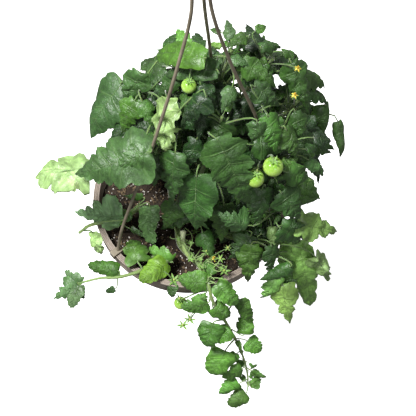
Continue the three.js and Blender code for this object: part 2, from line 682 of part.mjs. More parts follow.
// The clip at a strand's foot straddles the rim and hooks under its lip
function clipSolid(clip) {
  const innerFace = WALL_TOP_RADIUS - WALL - 2.2;
  const outerFace = RIM_RADIUS + 0.5;
  const hookFace = BAND_RADIUS + 0.6;
  const over = GAP + 0.1;
  const under = -LIP_HEIGHT - over;
  const shape = new THREE.Shape(
    [
      [innerFace - CLIP_LEG, -CLIP_DEPTH],
      [innerFace, -CLIP_DEPTH],
      [innerFace, over],
      [outerFace, over],
      [outerFace, under],
      [hookFace, under],
      [hookFace, under - CLIP_HOOK],
      [outerFace + CLIP_LEG, under - CLIP_HOOK],
      [outerFace + CLIP_LEG, CLIP_TOP],
      [innerFace - CLIP_LEG, CLIP_TOP],
    ].map(([x, y]) => new THREE.Vector2(x, y)),
  );
  const body = new THREE.ExtrudeGeometry(shape, { depth: CLIP_WIDTH, bevelEnabled: false });
  body.translate(0, 0, -CLIP_WIDTH / 2);
  body.rotateX(Math.PI / 2);
  body.rotateZ(THREE.MathUtils.degToRad(clip));
  return solidOf(body);
}

function strandSolid(strand) {
  const curve = new THREE.CatmullRomCurve3(strandPoints(strand), false, "centripetal");
  return rod(curve, STRAND_RADIUS, 6, 12).add(clipSolid(strand.clip));
}

// The crown gathers the strands in three sockets and carries the hook
function crownSolid() {
  const profile = [
    [0, CROWN_HEIGHT],
    [CROWN_RADIUS, CROWN_HEIGHT],
    [CROWN_RADIUS + 1, CROWN_HEIGHT + 3],
    [CROWN_RADIUS - 2, CROWN_HEIGHT + 10],
    [6, CROWN_HEIGHT + CROWN_THICKNESS],
    [0, CROWN_HEIGHT + CROWN_THICKNESS],
  ].map(([r, z]) => new THREE.Vector2(r, z));
  let solid = solidOf(new THREE.LatheGeometry(profile, 14).rotateX(Math.PI / 2));
  const shank = [
    [0, 0, CROWN_HEIGHT + 9],
    [0, 0, CROWN_HEIGHT + 20],
    [0.7 * HOOK_BEND, 0, HOOK_CENTRE - 0.8 * HOOK_BEND],
  ];
  const bend = [0, 45, 90, 135, 180, 215].map((degrees) => {
    const angle = THREE.MathUtils.degToRad(degrees);
    return [HOOK_BEND * Math.cos(angle), 0, HOOK_CENTRE + HOOK_BEND * Math.sin(angle)];
  });
  const hook = new THREE.CatmullRomCurve3([...shank, ...bend].map(vec), false, "centripetal");
  solid = solid.add(rod(hook, HOOK_WIRE_RADIUS, 6, 18));
  for (const strand of Object.values(STRANDS)) {
    const [seat, below] = strandPoints(strand).reverse();
    const along = seat.clone().sub(below).normalize();
    const socket = [
      below.clone().addScaledVector(along, -4),
      seat.clone().addScaledVector(along, GAP + 0.1),
    ];
    solid = solid.subtract(taperedTube(socket, SOCKET_RADIUS, SOCKET_RADIUS, 8));
  }
  return solid;
}

// Fruits and flowers
const SEPAL_COUNT = 5;
const SEPAL_LIFT = 1.5;
const TRUSS_RADIUS = 1;
const PETAL_REACH = 9;
const FLOWER_CALYX_REACH = 5;
const FLOWER_CALYX_DROP = 1.8;
const FRUIT_FLATNESS = 0.94;

// A flat star with a raised middle, for a calyx or a corolla
function starSolid(centre, tipRadius, valleyRadius, thickness, droop) {
  const points = [
    centre.clone().add(vec([0, 0, thickness / 2])),
    centre.clone().add(vec([0, 0, -thickness / 2])),
  ];
  const triangles = [];
  const corners = 2 * SEPAL_COUNT;
  for (let k = 0; k < corners; k++) {
    const angle = (2 * Math.PI * k) / corners;
    const r = k % 2 === 0 ? tipRadius : valleyRadius;
    const drop = k % 2 === 0 ? droop : 0;
    points.push(centre.clone().add(vec([r * Math.cos(angle), r * Math.sin(angle), -drop])));
    const next = 2 + ((k + 1) % corners);
    triangles.push([0, 2 + k, next], [1, next, 2 + k]);
  }
  return solidFrom(points, triangles);
}

function stalkSolid(foot, top, radius, lift) {
  const control = mix(foot, top, 0.6);
  control.z = top.z + lift;
  const points = [];
  for (let i = 0; i <= 4; i++) points.push(bezier(foot, control, top, i / 4));
  return taperedTube(points, radius, radius * 0.75, 4);
}

function fruitSolid(top, radius) {
  const ball = new THREE.SphereGeometry(radius, 9, 6).rotateX(Math.PI / 2);
  ball.scale(1, 1, FRUIT_FLATNESS);
  ball.translate(top.x, top.y, top.z - FRUIT_FLATNESS * radius);
  return solidOf(ball);
}

const CALYX_LIFT = 1.1;
const strayFrom = (point, random, attempt) =>
  vec(point).add(vec([0, 0, 0].map(() => (random() - 0.5) * 4 * attempt)));

function placeFruit([stem, at, top, radius], index) {
  const node = "tomato_" + (index + 1);
  for (let attempt = 0; attempt < LEAF_TRIES; attempt++) {
    const random = randomStream(300 + index * 50 + attempt);
    const crown = strayFrom(top, random, attempt);
    const fruit = fruitSolid(crown, radius);
    const centre = crown.clone().add(vec([0, 0, CALYX_LIFT]));
    const calyx = starSolid(centre, radius * 0.8, radius * 0.22, 1.1, -SEPAL_LIFT);
    const stalk = stalkSolid(curves[stem].getPoint(at), centre, TRUSS_RADIUS, 8);
    const truss = calyx.add(stalk);
    if (isClear(node, fruit) && isClear(stem, truss)) {
      place(node, fruit);
      place(stem, truss, calyx);
      return;
    }
  }
  throw new Error("no room for " + node);
}

function placeFlower([stem, at, middle], index) {
  const node = "flower_" + (index + 1);
  for (let attempt = 0; attempt < LEAF_TRIES; attempt++) {
    const random = randomStream(600 + index * 50 + attempt);
    const centre = strayFrom(middle, random, attempt);
    const corolla = starSolid(centre, PETAL_REACH, 3.4, 1.6, 1);
    const below = centre.clone().add(vec([0, 0, -FLOWER_CALYX_DROP]));
    const calyx = starSolid(below, FLOWER_CALYX_REACH, 1.8, 1.4, 1);
    const truss = calyx.add(stalkSolid(curves[stem].getPoint(at), below, TRUSS_RADIUS, -8));
    if (isClear(node, corolla) && isClear(stem, truss)) {
      place(node, corolla);
      place(stem, truss, calyx);
      return;
    }
  }
  throw new Error("no room for " + node);
}

// Build, from what stands still to what is fitted round it
const stemNames = Object.keys(STEMS);
const curves = {};
for (const name of stemNames) curves[name] = stemCurve(STEMS[name].path);

place("pot", potSolid());
for (const [name, strand] of Object.entries(STRANDS)) {
  place("hanger_strand_" + name, strandSolid(strand));
}
place("hanger_crown", crownSolid());

let soil = soilSolid();
for (const name of stemNames) {
  const steps = 2 * STEMS[name].path.length;
  const points = curves[name].getPoints(steps);
  place(name, taperedTube(points, STEM_FOOT_RADIUS, STEM_TIP_RADIUS, STEM_SIDES));
  const foot = points[0].clone();
  foot.z -= GAP + 0.3;
  const hole = [foot, ...points.slice(1, 4)];
  soil = soil.subtract(taperedTube(hole, ROOT_HOLE_RADIUS, ROOT_HOLE_RADIUS, 6));
}
place("soil", soil);

FRUITS.forEach(placeFruit);
FLOWERS.forEach(placeFlower);

LEAVES.forEach((leaf, index) => {
  const fits = placeLeaf(leaf[0], (attempt) => listedLeaf(leaf, index, attempt));
  if (!fits) throw new Error("no room for listed leaf " + index);
});
for (const name of stemNames) {
  for (let order = 0; order < STEMS[name].fill; order++) {
    placeLeaf(name, (attempt) => fillLeaf(name, order, attempt), keepsOutline);
  }
}

const LOOKS = [
  [/^pot|^hanger/, PLASTIC],
  [/^soil/, SOIL],
  [/^tomato/, FRUIT],
  [/^flower/, PETAL],
  [/./, LEAF],
];
const basket = new THREE.Group();
basket.position.z = -HANG_HEIGHT;
for (const [name, pieces] of placed) {
  const solid = mainBody(union(pieces.map((piece) => piece.solid)).simplify(SMALLEST_DETAIL));
  const look = LOOKS.find(([pattern]) => pattern.test(name))[1];
  basket.add(meshOf(stemNames.includes(name) ? "stem_" + name : name, solid, look));
}

const plant = new THREE.Group();
plant.add(basket);
export default plant;
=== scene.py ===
"""A cherry tomato plant in a hanging pot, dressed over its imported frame.

Lengths are in millimetres above the pot's rim until a mesh is written, when they become metres
below the hook's hanging point. Random draws are seeded, so every run gives the same plant.
"""

import json
import logging
import math
from dataclasses import dataclass, field
from enum import Enum
from itertools import combinations
from typing import Any, Callable, Iterable, Sequence

import bpy
import numpy as np
from mathutils import Matrix, Vector

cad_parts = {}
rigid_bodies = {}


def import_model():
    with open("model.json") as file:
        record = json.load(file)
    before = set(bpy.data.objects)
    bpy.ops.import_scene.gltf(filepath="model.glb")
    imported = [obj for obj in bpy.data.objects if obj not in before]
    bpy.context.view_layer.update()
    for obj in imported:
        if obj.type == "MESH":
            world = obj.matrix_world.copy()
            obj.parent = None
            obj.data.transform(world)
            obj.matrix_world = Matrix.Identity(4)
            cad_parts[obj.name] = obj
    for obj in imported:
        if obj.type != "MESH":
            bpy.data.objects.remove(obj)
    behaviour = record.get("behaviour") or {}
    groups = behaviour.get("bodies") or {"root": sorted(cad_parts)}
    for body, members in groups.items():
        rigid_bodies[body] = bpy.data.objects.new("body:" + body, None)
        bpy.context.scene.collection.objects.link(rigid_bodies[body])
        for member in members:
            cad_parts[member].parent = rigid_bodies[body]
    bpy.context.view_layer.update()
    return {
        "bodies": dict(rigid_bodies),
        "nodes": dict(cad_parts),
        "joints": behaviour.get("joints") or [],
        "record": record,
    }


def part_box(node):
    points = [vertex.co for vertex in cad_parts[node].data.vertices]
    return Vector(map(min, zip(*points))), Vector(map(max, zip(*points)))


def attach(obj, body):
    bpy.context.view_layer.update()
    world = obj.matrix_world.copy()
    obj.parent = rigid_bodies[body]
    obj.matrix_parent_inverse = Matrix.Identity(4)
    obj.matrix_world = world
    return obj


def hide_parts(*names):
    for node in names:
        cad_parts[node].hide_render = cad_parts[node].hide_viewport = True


LOG = logging.getLogger("tomato_plant")
Array = np.ndarray
Material = bpy.types.Material
Object = bpy.types.Object

MM = 0.001
# The hook's hanging point lies this far above the pot's rim
HANG_HEIGHT = 566.5
IMAGE_SIDE = 416
# A solid has a vertex this near to the tip of each leaf that it was made with
VERTEX_MATCH = 0.45
UP = np.array([0.0, 0.0, 1.0])
# Moulded pieces carry this tint, which their finish doesn't read
PLAIN_TINT = (0.5, 0.5, 0.5)
# How far a tube's two poles lie past its ends, in radii
POLE_REACH = np.array([[-0.3], [0.6]])
# A rounded corner takes up at most this share of each of its sides
CORNER_SHARE = 0.45


class Tone(Enum):
    """A leaf's colours by day: its upper side and its paler underside."""

    # Painted shade: the darkest green, for leaves deep in the bush and in its dark middle, where shade falls
    SHADE = ("#1c4010", "#3a5c2c")
    DEEP = ("#335a1f", "#628446")
    BLUE = ("#41652f", "#74946a")
    MID = ("#416c22", "#759b50")
    OLIVE = ("#47701f", "#88aa5a")
    SAGE = ("#547844", "#8fae74")
    BRIGHT = ("#588c30", "#88b25c")
    FRESH = ("#80b048", "#a4c86e")
    # Painted light: a pale spring green for low front leaves, so that they show lit though they lie in shade
    SPRING = ("#8cbe5c", "#a8d084")
    # Painted light: a pale mint green for the low left leaf, so that it shows lit though the leaf above casts
    # its shadow on it
    COOL = ("#90c688", "#a8ca9c")
    LIME = ("#a2c076", "#b4cc88")
    PALE = ("#93b66a", "#b4d28c")
    YELLOWED = ("#72a52d", "#a4c456")


class Shape(Enum):
    """A leaflet's outline: toothed egg, scalloped round, cut into points, smooth egg, or lobed."""

    EGG = 0
    ROUND = 1
    POINTED = 2
    SMOOTH = 3
    LOBED = 4


def linear(colour: str) -> tuple[float, float, float, float]:
    """Turns an sRGB hex colour into the linear one that shaders take.

    Args:
        colour: The colour as #rrggbb.

    Returns:
        Linear red, green, blue and an alpha of one.
    """
    parts = np.array([int(colour[i : i + 2], 16) / 255 for i in (1, 3, 5)])
    values = np.where(parts <= 0.04045, parts / 12.92, ((parts + 0.055) / 1.055) ** 2.4)
    return (*map(float, values), 1.0)


def tint_of(colour: str) -> Array:
    """Returns an sRGB hex colour as a surface's tint: linear red, green and blue."""
    return np.array(linear(colour)[:3])


def unit(v: Array) -> Array:
    """Returns vectors at length one, along the last axis."""
    return v / np.maximum(np.linalg.norm(v, axis=-1, keepdims=True), 1e-12)


def mix(a: Array, b: Array, t: Any) -> Array:
    """Returns the point a share t of the way from a to b."""
    return a + (b - a) * t


def smooth(x: Any, low: float, high: float) -> Array:
    """Returns a smooth step, 0 below low and 1 above high: 3s^2 - 2s^3 of the share s."""
    s = np.clip((np.asarray(x, float) - low) / (high - low), 0, 1)
    return s * s * (3 - 2 * s)


def turned(v: Array, axis: Array, angle: float) -> Array:
    """Turns a vector about a unit axis: v cos + (axis x v) sin + axis (axis.v)(1 - cos)."""
    c, s = math.cos(angle), math.sin(angle)
    return v * c + np.cross(axis, v) * s + axis * np.dot(axis, v) * (1 - c)


def random_stream(seed: int) -> Callable[[], float]:
    """Makes the random stream that the solids were placed with.

    Args:
        seed: The stream's start.

    Returns:
        A function whose draws lie between 0 and 1.
    """
    state = seed & 0xFFFFFFFF

    def draw() -> float:
        """Returns the stream's next draw."""
        nonlocal state
        state = (state + 0x6D2B79F5) & 0xFFFFFFFF
        t = ((state ^ (state >> 15)) * (1 | state)) & 0xFFFFFFFF
        t = ((t + ((t ^ (t >> 7)) * (61 | t))) & 0xFFFFFFFF) ^ t
        return ((t ^ (t >> 14)) & 0xFFFFFFFF) / 4294967296

    return draw


def curve_points(path: Array, t: Array, centripetal: bool = False) -> Array:
    """Points on a smooth curve that runs through a path's points.

    Each span is a cubic whose end slopes are half the chord across a point, or chords weighed by
    the square roots of their lengths. The ends go on straight.

    Args:
        path: The points.
        t: Places along the curve from 0 to 1.
        centripetal: Whether chords are weighed.

    Returns:
        One point a row.
    """
    path = np.asarray(path, float)
    ends = np.vstack([2 * path[0] - path[1], path, 2 * path[-1] - path[-2]])
    place = np.clip(np.asarray(t, float), 0, 1) * (len(path) - 1)
    span = np.minimum(place.astype(int), len(path) - 2)
    s = (place - span)[:, None]
    a, b, c, d = (ends[span + k] for k in range(4))
    slope_b, slope_c = 0.5 * (c - a), 0.5 * (d - b)
    if centripetal:
        gap = [np.sqrt(np.linalg.norm(q - p, axis=1, keepdims=True)) for p, q in ((a, b), (b, c), (c, d))]
        slope_b = ((b - a) / gap[0] - (c - a) / (gap[0] + gap[1]) + (c - b) / gap[1]) * gap[1]
        slope_c = ((c - b) / gap[1] - (d - b) / (gap[1] + gap[2]) + (d - c) / gap[2]) * gap[1]
    bend = -3 * b + 3 * c - 2 * slope_b - slope_c
    last = 2 * b - 2 * c + slope_b + slope_c
    return b + slope_b * s + bend * s**2 + last * s**3


def bezier_points(corners: Sequence[Array], t: Array) -> Array:
    """Points on a Bezier curve: its corners are mixed pair by pair until one is left.

    Args:
        corners: The curve's control points.
        t: Places along it from 0 to 1.

    Returns:
        One point a row.
    """
    t = np.asarray(t, float)[:, None]
    rows = [np.broadcast_to(np.asarray(c, float), (len(t), 3)) for c in corners]
    while len(rows) > 1:
        rows = [mix(a, b, t) for a, b in zip(rows, rows[1:])]
    return rows[0]


def ring_angles(count: int) -> Array:
    """Returns equal steps round a circle, in radians."""
    return 2 * np.pi * np.arange(count) / count


def closed_faces(rows: int, columns: int) -> Array:
    """Triangles of a grid whose rows close on themselves, and of a pole at either end.

    Points are numbered row after row, then the pole before the first row, then the last one.

    Args:
        rows: How many rows.
        columns: How many points in a row.

    Returns:
        Three point numbers a row.
    """
    k = np.arange(columns)
    after = (k + 1) % columns
    start = np.arange(rows - 1)[:, None] * columns
    a, b = start + k, start + after
    band = np.stack([a, b, b + columns, a, b + columns, a + columns], axis=-1).reshape(-1, 3)
    total = rows * columns
    last = total - columns
    first_cap = np.stack([after, k, np.full(columns, total)], axis=1)
    last_cap = np.stack([last + k, last + after, np.full(columns, total + 1)], axis=1)
    return np.vstack([band, first_cap, last_cap])


@dataclass
class Skin:
    """A closed surface: points, triangles, and what its finish reads at each point.

    lines holds the vein's count along a leaf, the share of the way to its margin, and 1 on the
    upper side or -1 below. tint is a linear colour. slot numbers the finish.
    """

    points: Array
    faces: Array
    tint: Array
    lines: Array
    slot: int = 0

    @classmethod
    def plain(cls, points: Array, faces: Array, tint: Any, slot: int = 0) -> "Skin":
        """Makes a surface with one colour, or one a point, and no lines."""
        tints = np.broadcast_to(np.asarray(tint, float)[..., :3], (len(points), 3))
        return cls(points, faces, tints, np.zeros((len(points), 3)), slot)


def tube(path: Array, radii: Any, sides: int, tint: Any, slot: int = 0, ribs: float = 0.0) -> Skin:
    """A closed round tube carried along a path.

    Ring i is path[i] + r_i (cos a * across + sin a * other), where across is square to the path,
    near the normal of the plane that it bends in. Both ends close in a point.

    Args:
        path: The centre line's points.
        radii: The radius, or one a point.
        sides: Points round a ring.
        tint: A colour, or one a ring.
        slot: The finish's number.
        ribs: The height of five ribs along it, as a share of the radius.

    Returns:
        The tube.
    """
    path = np.asarray(path, float)
    radii = np.broadcast_to(np.asarray(radii, float), len(path))[:, None, None]
    along = unit(np.gradient(path, axis=0))
    flat = np.linalg.svd(path - path.mean(0))[2][2]
    across = unit(flat - along * (along @ flat)[:, None])
    other = np.cross(along, across)
    angle = ring_angles(sides)
    round_shape = 1 + ribs * np.cos(5 * angle)
    c, s = (np.cos(angle) * round_shape)[None, :, None], (np.sin(angle) * round_shape)[None, :, None]
    rings = path[:, None] + radii * (c * across[:, None] + s * other[:, None])
    ends = path[[0, -1]] + along[[0, -1]] * radii[[0, -1], 0] * POLE_REACH
    points = np.vstack([rings.reshape(-1, 3), ends])
    total = len(path) * sides
    tint = np.asarray(tint, float)[..., :3]
    if tint.ndim == 2:
        tint = np.vstack([np.repeat(tint, sides, axis=0), tint[[0, -1]]])
    skin = Skin.plain(points, closed_faces(len(path), sides), tint, slot)
    skin.lines[:total, 0] = np.repeat(np.linspace(0, 1, len(path)), sides)
    return skin


def lathe(profile: Sequence[Sequence[float]], sides: int) -> Skin:
    """A profile spun round the pot's axis: a point (r, z) goes to (r cos a, r sin a, z).

    Args:
        profile: Points of (radius, height), of which the first and the last lie on the axis.
        sides: Points round a ring.

    Returns:
        The closed surface, in a plain tint.
    """
    profile = np.asarray(profile, float)
    angle = ring_angles(sides)
    r = profile[1:-1, :1]
    z = np.broadcast_to(profile[1:-1, 1:], (len(r), sides))
    rings = np.stack([r * np.cos(angle), r * np.sin(angle), z], axis=-1)
    poles = [[0, 0, profile[0, 1]], [0, 0, profile[-1, 1]]]
    points = np.vstack([rings.reshape(-1, 3), poles])
    return Skin.plain(points, closed_faces(len(r), sides), PLAIN_TINT)


def rounded(profile: Sequence[Sequence[float]], radius: float, steps: int = 4) -> list[Array]:
    """Rounds a profile's corners, each with a Bezier curve whose middle control is the corner.

    Args:
        profile: The profile's points.
        radius: How far from a corner its curve starts at most.
        steps: Points on each curve.

    Returns:
        The rounded profile's points.
    """
    points = [np.asarray(p, float) for p in profile]
    made = [points[0]]
    for before, corner, after in zip(points, points[1:], points[2:]):
        sides = [float(np.linalg.norm(p - corner)) for p in (before, after)]
        reach = [min(radius, CORNER_SHARE * side) for side in sides]
        start = corner + unit(before - corner) * reach[0]
        end = corner + unit(after - corner) * reach[1]
        t = np.linspace(0, 1, steps)[:, None]
        made.extend(mix(mix(start, corner, t), mix(corner, end, t), t))
    return made + [points[-1]]


def write_piece(name: str, skins: Sequence[Skin], finishes: Sequence[Material]) -> Object:
    """Writes surfaces into one mesh object at the origin, in metres below the hook.

    Args:
        name: The object's name.
        skins: Its surfaces.
        finishes: Its materials, in the order of the surfaces' slots.

    Returns:
        The object.
    """
    counts = np.cumsum([0] + [len(s.points) for s in skins])
    points = (np.vstack([s.points for s in skins]) - (0, 0, HANG_HEIGHT)) * MM
    faces = np.vstack([s.faces + c for s, c in zip(skins, counts)])
    mesh = bpy.data.meshes.new(name)
    mesh.vertices.add(len(points))
    mesh.vertices.foreach_set("co", points.astype(np.float32).ravel())
    mesh.loops.add(faces.size)
    mesh.loops.foreach_set("vertex_index", faces.astype(np.int32).ravel())
    mesh.polygons.add(len(faces))
    mesh.polygons.foreach_set("loop_start", np.arange(0, faces.size, 3, dtype=np.int32))
    slots = np.concatenate([np.full(len(s.faces), s.slot) for s in skins]).astype(np.int32)
    mesh.polygons.foreach_set("material_index", slots)
    tint = np.vstack([s.tint for s in skins])
    tint = np.hstack([tint, np.ones((len(tint), 1))]).astype(np.float32)
    mesh.attributes.new("tint", "FLOAT_COLOR", "POINT").data.foreach_set("color", tint.ravel())
    lines = np.vstack([s.lines for s in skins]).astype(np.float32)
    mesh.attributes.new("lines", "FLOAT_VECTOR", "POINT").data.foreach_set("vector", lines.ravel())
    mesh.update(calc_edges=True)
    mesh.shade_smooth()
    for finish in finishes:
        mesh.materials.append(finish)
    piece = bpy.data.objects.new(name, mesh)
    bpy.context.scene.collection.objects.link(piece)
    return piece


# Finishes

# The nodes that finishes are made of: each one's type, and its settings
NODES: dict[str, tuple[str, dict[str, str]]] = {
    "coordinates": ("TexCoord", {}),
    "tint": ("Attribute", {"attribute_name": "tint"}),
    "lines": ("Attribute", {"attribute_name": "lines"}),
    "split": ("SeparateXYZ", {}),
    "join": ("CombineXYZ", {}),
    "grey": ("CombineColor", {}),
    "+": ("Math", {"operation": "ADD"}),
    "-": ("Math", {"operation": "SUBTRACT"}),
    "*": ("Math", {"operation": "MULTIPLY"}),
    "larger": ("Math", {"operation": "MAXIMUM"}),
    "absolute": ("Math", {"operation": "ABSOLUTE"}),
    "fraction": ("Math", {"operation": "FRACT"}),
    "sine": ("Math", {"operation": "SINE"}),
    "step": ("MapRange", {"interpolation_type": "SMOOTHSTEP"}),
    "mix": ("Mix", {"data_type": "RGBA"}),
    "shade": ("Mix", {"data_type": "RGBA", "blend_type": "MULTIPLY"}),
    "noise": ("TexNoise", {}),
    "cells": ("TexVoronoi", {"feature": "DISTANCE_TO_EDGE"}),
    "bump": ("Bump", {}),
    "shader": ("BsdfPrincipled", {}),
    "output": ("OutputMaterial", {}),
}
NOISE_ROUGHNESS = 0.55


def per_metre(size: float) -> float:
    """Returns the scale of a pattern whose size is in millimetres."""
    return 1 / (size * MM)


class Surface:
    """A material under way: its node tree, and the place on the piece that its patterns read."""

    def __init__(self, name: str) -> None:
        """Starts a material that has only its object coordinates."""
        self.material = bpy.data.materials.new(name)
        self.material.use_nodes = True
        self.material.node_tree.nodes.clear()
        self.place = self.add("coordinates", output="Object")

    def add(self, kind: str, *inputs: Any, output: str = "", **named: Any) -> Any:
        """Adds a node with its settings and links.

        Args:
            kind: Which of the nodes above.
            inputs: Values, or sockets to link from, in the order of the live inputs.
            output: Which output to return, if it isn't the first live one.
            named: Values or sockets by their inputs' names.

        Returns:
            The output, or None where there is none.
        """
        tree = self.material.node_tree
        made = tree.nodes.new("ShaderNode" + NODES[kind][0])
        for key, value in NODES[kind][1].items():
            setattr(made, key, value)
        live = [socket for socket in made.inputs if socket.enabled]
        for socket, value in [*zip(live, inputs), *((made.inputs[k], v) for k, v in named.items())]:
            if isinstance(value, bpy.types.NodeSocket):
                tree.links.new(value, socket)
            else:
                socket.default_value = value
        found = [s for s in made.outputs if s.enabled and output in ("", s.name)]
        return found[0] if found else None

    def finish(self, inputs: dict[str, Any]) -> Material:
        """Closes the material with a shader that has these inputs, and returns it."""
        self.add("output", self.add("shader", **inputs))
        return self.material


@dataclass(frozen=True)
class LeafFinish:
    """Tomato leaf: matt and softly hairy, with sunken side veins and a fine net between them.

    Soft light falls along each pucker and pleat, and painted light and shade follow the pleats and
    darken the sunken net. Veins and the underside are paler. The hairs are too fine to show, so
    their glints are painted as a faint pale speckle in patches.
    """

    net_mm: float = 2.6
    pucker_mm: float = 6.5
    blotch_mm: float = 17.0
    hair_glint_mm: float = 1.3
    grit_mm: float = 1.6
    drift_mm: float = 60.0
    vein: str = "#8fae6c"
    painted_glint_and_sheen: str = "#dfe9dc"

    def build(self) -> Material:
        """Returns the material, which reads the mesh's tint and lines."""
        s = Surface("tomato_leaf_hairy")
        tint = s.add("tint")
        lines = s.add("lines", output="Vector")
        count, margin, face = s.add("split", lines).node.outputs
        # Side veins where the count is whole, and the midrib where the margin is 0
        away = s.add("absolute", s.add("-", s.add("fraction", s.add("+", count, 0.5)), 0.5))
        side_vein = s.add("step", away, 0.0, 0.07, 1.0, 0.0)
        fading = s.add("step", margin, 0.2, 1.0, 0.8, 0.25)
        midrib = s.add("step", margin, 0.004, 0.024, 1.0, 0.0)
        side_vein = s.add("*", side_vein, fading)
        # The net runs along the edges of two sizes of cells
        net, pucker = (
            s.add("step", s.add("cells", s.place, per_metre(size)), 0.0, reach, 1.0, 0.0)
            for size, reach in ((self.net_mm, 0.22), (self.pucker_mm, 0.3))
        )
        net = s.add("larger", s.add("*", net, 0.6), pucker)
        # Pleats: fine ridges along the side veins, three or four between each two
        drift = s.add("noise", s.place, per_metre(self.drift_mm), 0.0, NOISE_ROUGHNESS)
        ridges = [s.add("*", *pair) for pair in ((count, 3.6), (margin, 2.2), (drift, 9.0))]
        pleat = s.add("noise", s.add("join", *ridges), 1.0, 3.0, NOISE_ROUGHNESS)
        blotch, hair_glint, grit = (
            s.add("noise", s.place, per_metre(size), detail, NOISE_ROUGHNESS)
            for size, detail in ((self.blotch_mm, 4.0), (self.hair_glint_mm, 2.0), (self.grit_mm, 2.0))
        )
        # Painted light and shade: the colour follows the pleats' bumps, lighter on their ridges and darker in
        # their furrows
        painted_pleat_shade = s.add("step", pleat, 0.35, 0.65, 0.76, 1.12)
        # Painted shade: the colour is a tenth darker along the sunken net
        painted_net_shade = s.add("-", 1.0, s.add("*", net, 0.1))
        shade = s.add("step", blotch, 0.3, 0.72, 0.74, 1.2)
        for part in (painted_pleat_shade, painted_net_shade):
            shade = s.add("*", shade, part)
        base = s.add("shade", 1.0, tint, s.add("grey", shade, shade, shade))
        # Painted highlight: pale hair glints speckled over the colour in patches; the same pale also tints
        # the sheen
        painted_glint_share = s.add("step", hair_glint, 0.54, 0.74, 0.0, 0.05)
        base = s.add("mix", painted_glint_share, base, linear(self.painted_glint_and_sheen))
        for line, share in ((side_vein, 0.2), (midrib, 0.32)):
            base = s.add("mix", s.add("*", line, share), base, linear(self.vein))
        sunk = s.add("*", s.add("larger", side_vein, midrib), -0.6)
        height = s.add("+", sunk, s.add("*", net, -0.16))
        growing = s.add("step", count, 0.1, 1.4, 0.2, 1.9)
        height = s.add("+", height, s.add("*", pleat, growing))
        outward = s.add("step", face, -0.3, 0.3, -1.0, 1.0)
        height = s.add("*", height, outward)
        height = s.add("+", height, s.add("*", grit, 0.06))
        return s.finish(
            {
                "Base Color": base,
                "Roughness": s.add("step", blotch, 0.25, 0.75, 0.4, 0.54),
                "Normal": s.add("bump", Height=height, Distance=1.4 * MM, Strength=0.9),
                "Specular IOR Level": 0.6,
                "Sheen Weight": 0.03,
                "Sheen Roughness": 0.45,
                "Sheen Tint": linear(self.painted_glint_and_sheen),
                "Subsurface Weight": 0.05,
                "Subsurface Radius": (0.6, 1.0, 0.25),
                "Subsurface Scale": 0.002,
            }
        )


@dataclass(frozen=True)
class StemFinish:
    """Tomato stem: pale green, ribbed and hairy, with a faint brown flush on older wood."""

    flush: str = "#8a7448"
    streak_mm: float = 9.0
    grain_mm: float = 0.9

    def build(self) -> Material:
        """Returns the material from the mesh's tint."""
        s = Surface("tomato_stem_hairy")
        tint = s.add("tint")
        streak = s.add("noise", s.place, per_metre(self.streak_mm), 4.0, NOISE_ROUGHNESS)
        grain = s.add("noise", s.place, per_metre(self.grain_mm), 3.0, NOISE_ROUGHNESS)
        share = s.add("step", streak, 0.5, 0.8, 0.0, 0.4)
        return s.finish(
            {
                "Base Color": s.add("mix", share, tint, linear(self.flush)),
                "Roughness": s.add("step", streak, 0.3, 0.7, 0.5, 0.65),
                "Normal": s.add("bump", Height=grain, Distance=0.3 * MM, Strength=0.4),
                "Sheen Weight": 0.4,
                "Subsurface Weight": 0.05,
                "Subsurface Radius": (0.7, 1.0, 0.3),
                "Subsurface Scale": 0.002,
            }
        )


@dataclass(frozen=True)
class FruitFinish:
    """Unripe tomato skin: a thin clear cuticle over pale green flesh, darker at the shoulders.

    The eye sees sharp highlights on a smooth skin, and light that comes back from inside.
    """

    freckle: str = "#dcecaa"
    freckle_mm: float = 3.5
    ripple_mm: float = 2.2

    def build(self) -> Material:
        """Returns the material from the mesh's tint."""
        s = Surface("unripe_tomato_skin")
        tint = s.add("tint")
        freckle = s.add("noise", s.place, per_metre(self.freckle_mm), 4.0, NOISE_ROUGHNESS)
        ripple = s.add("noise", s.place, per_metre(self.ripple_mm), 2.0, NOISE_ROUGHNESS)
        share = s.add("step", freckle, 0.45, 0.75, 0.0, 0.35)
        return s.finish(
            {
                "Base Color": s.add("mix", share, tint, linear(self.freckle)),
                "Roughness": s.add("step", freckle, 0.3, 0.7, 0.16, 0.24),
                "Normal": s.add("bump", Height=ripple, Distance=0.15 * MM, Strength=0.12),
                "Coat Weight": 0.4,
                "Coat Roughness": 0.08,
                "IOR": 1.42,
                "Subsurface Weight": 0.3,
                "Subsurface Radius": (0.9, 1.0, 0.3),
                "Subsurface Scale": 0.004,
            }
        )


@dataclass(frozen=True)
class PetalFinish:
    """Tomato petal: thin, matt and yellow, with fine darker lines that run to its tip."""

    line: str = "#d9b548"
    lines_across: float = 26.0
    grain_mm: float = 2.0

    def build(self) -> Material:
        """Returns the material, which reads the mesh's tint and lines."""
        s = Surface("tomato_petal_soft")
        tint = s.add("tint")
        lines = s.add("lines", output="Vector")
        margin = s.add("split", lines, output="Y")
        stripe = s.add("sine", s.add("*", margin, self.lines_across))
        share = s.add("step", stripe, 0.2, 1.0, 0.0, 0.35)
        grain = s.add("noise", s.place, per_metre(self.grain_mm), 3.0, NOISE_ROUGHNESS)
        return s.finish(
            {
                "Base Color": s.add("mix", share, tint, linear(self.line)),
                "Roughness": s.add("step", grain, 0.3, 0.7, 0.5, 0.7),
                "Sheen Weight": 0.1,
                "Subsurface Weight": 0.15,
                "Subsurface Radius": (1.0, 0.8, 0.2),
                "Subsurface Scale": 0.002,
            }
        )


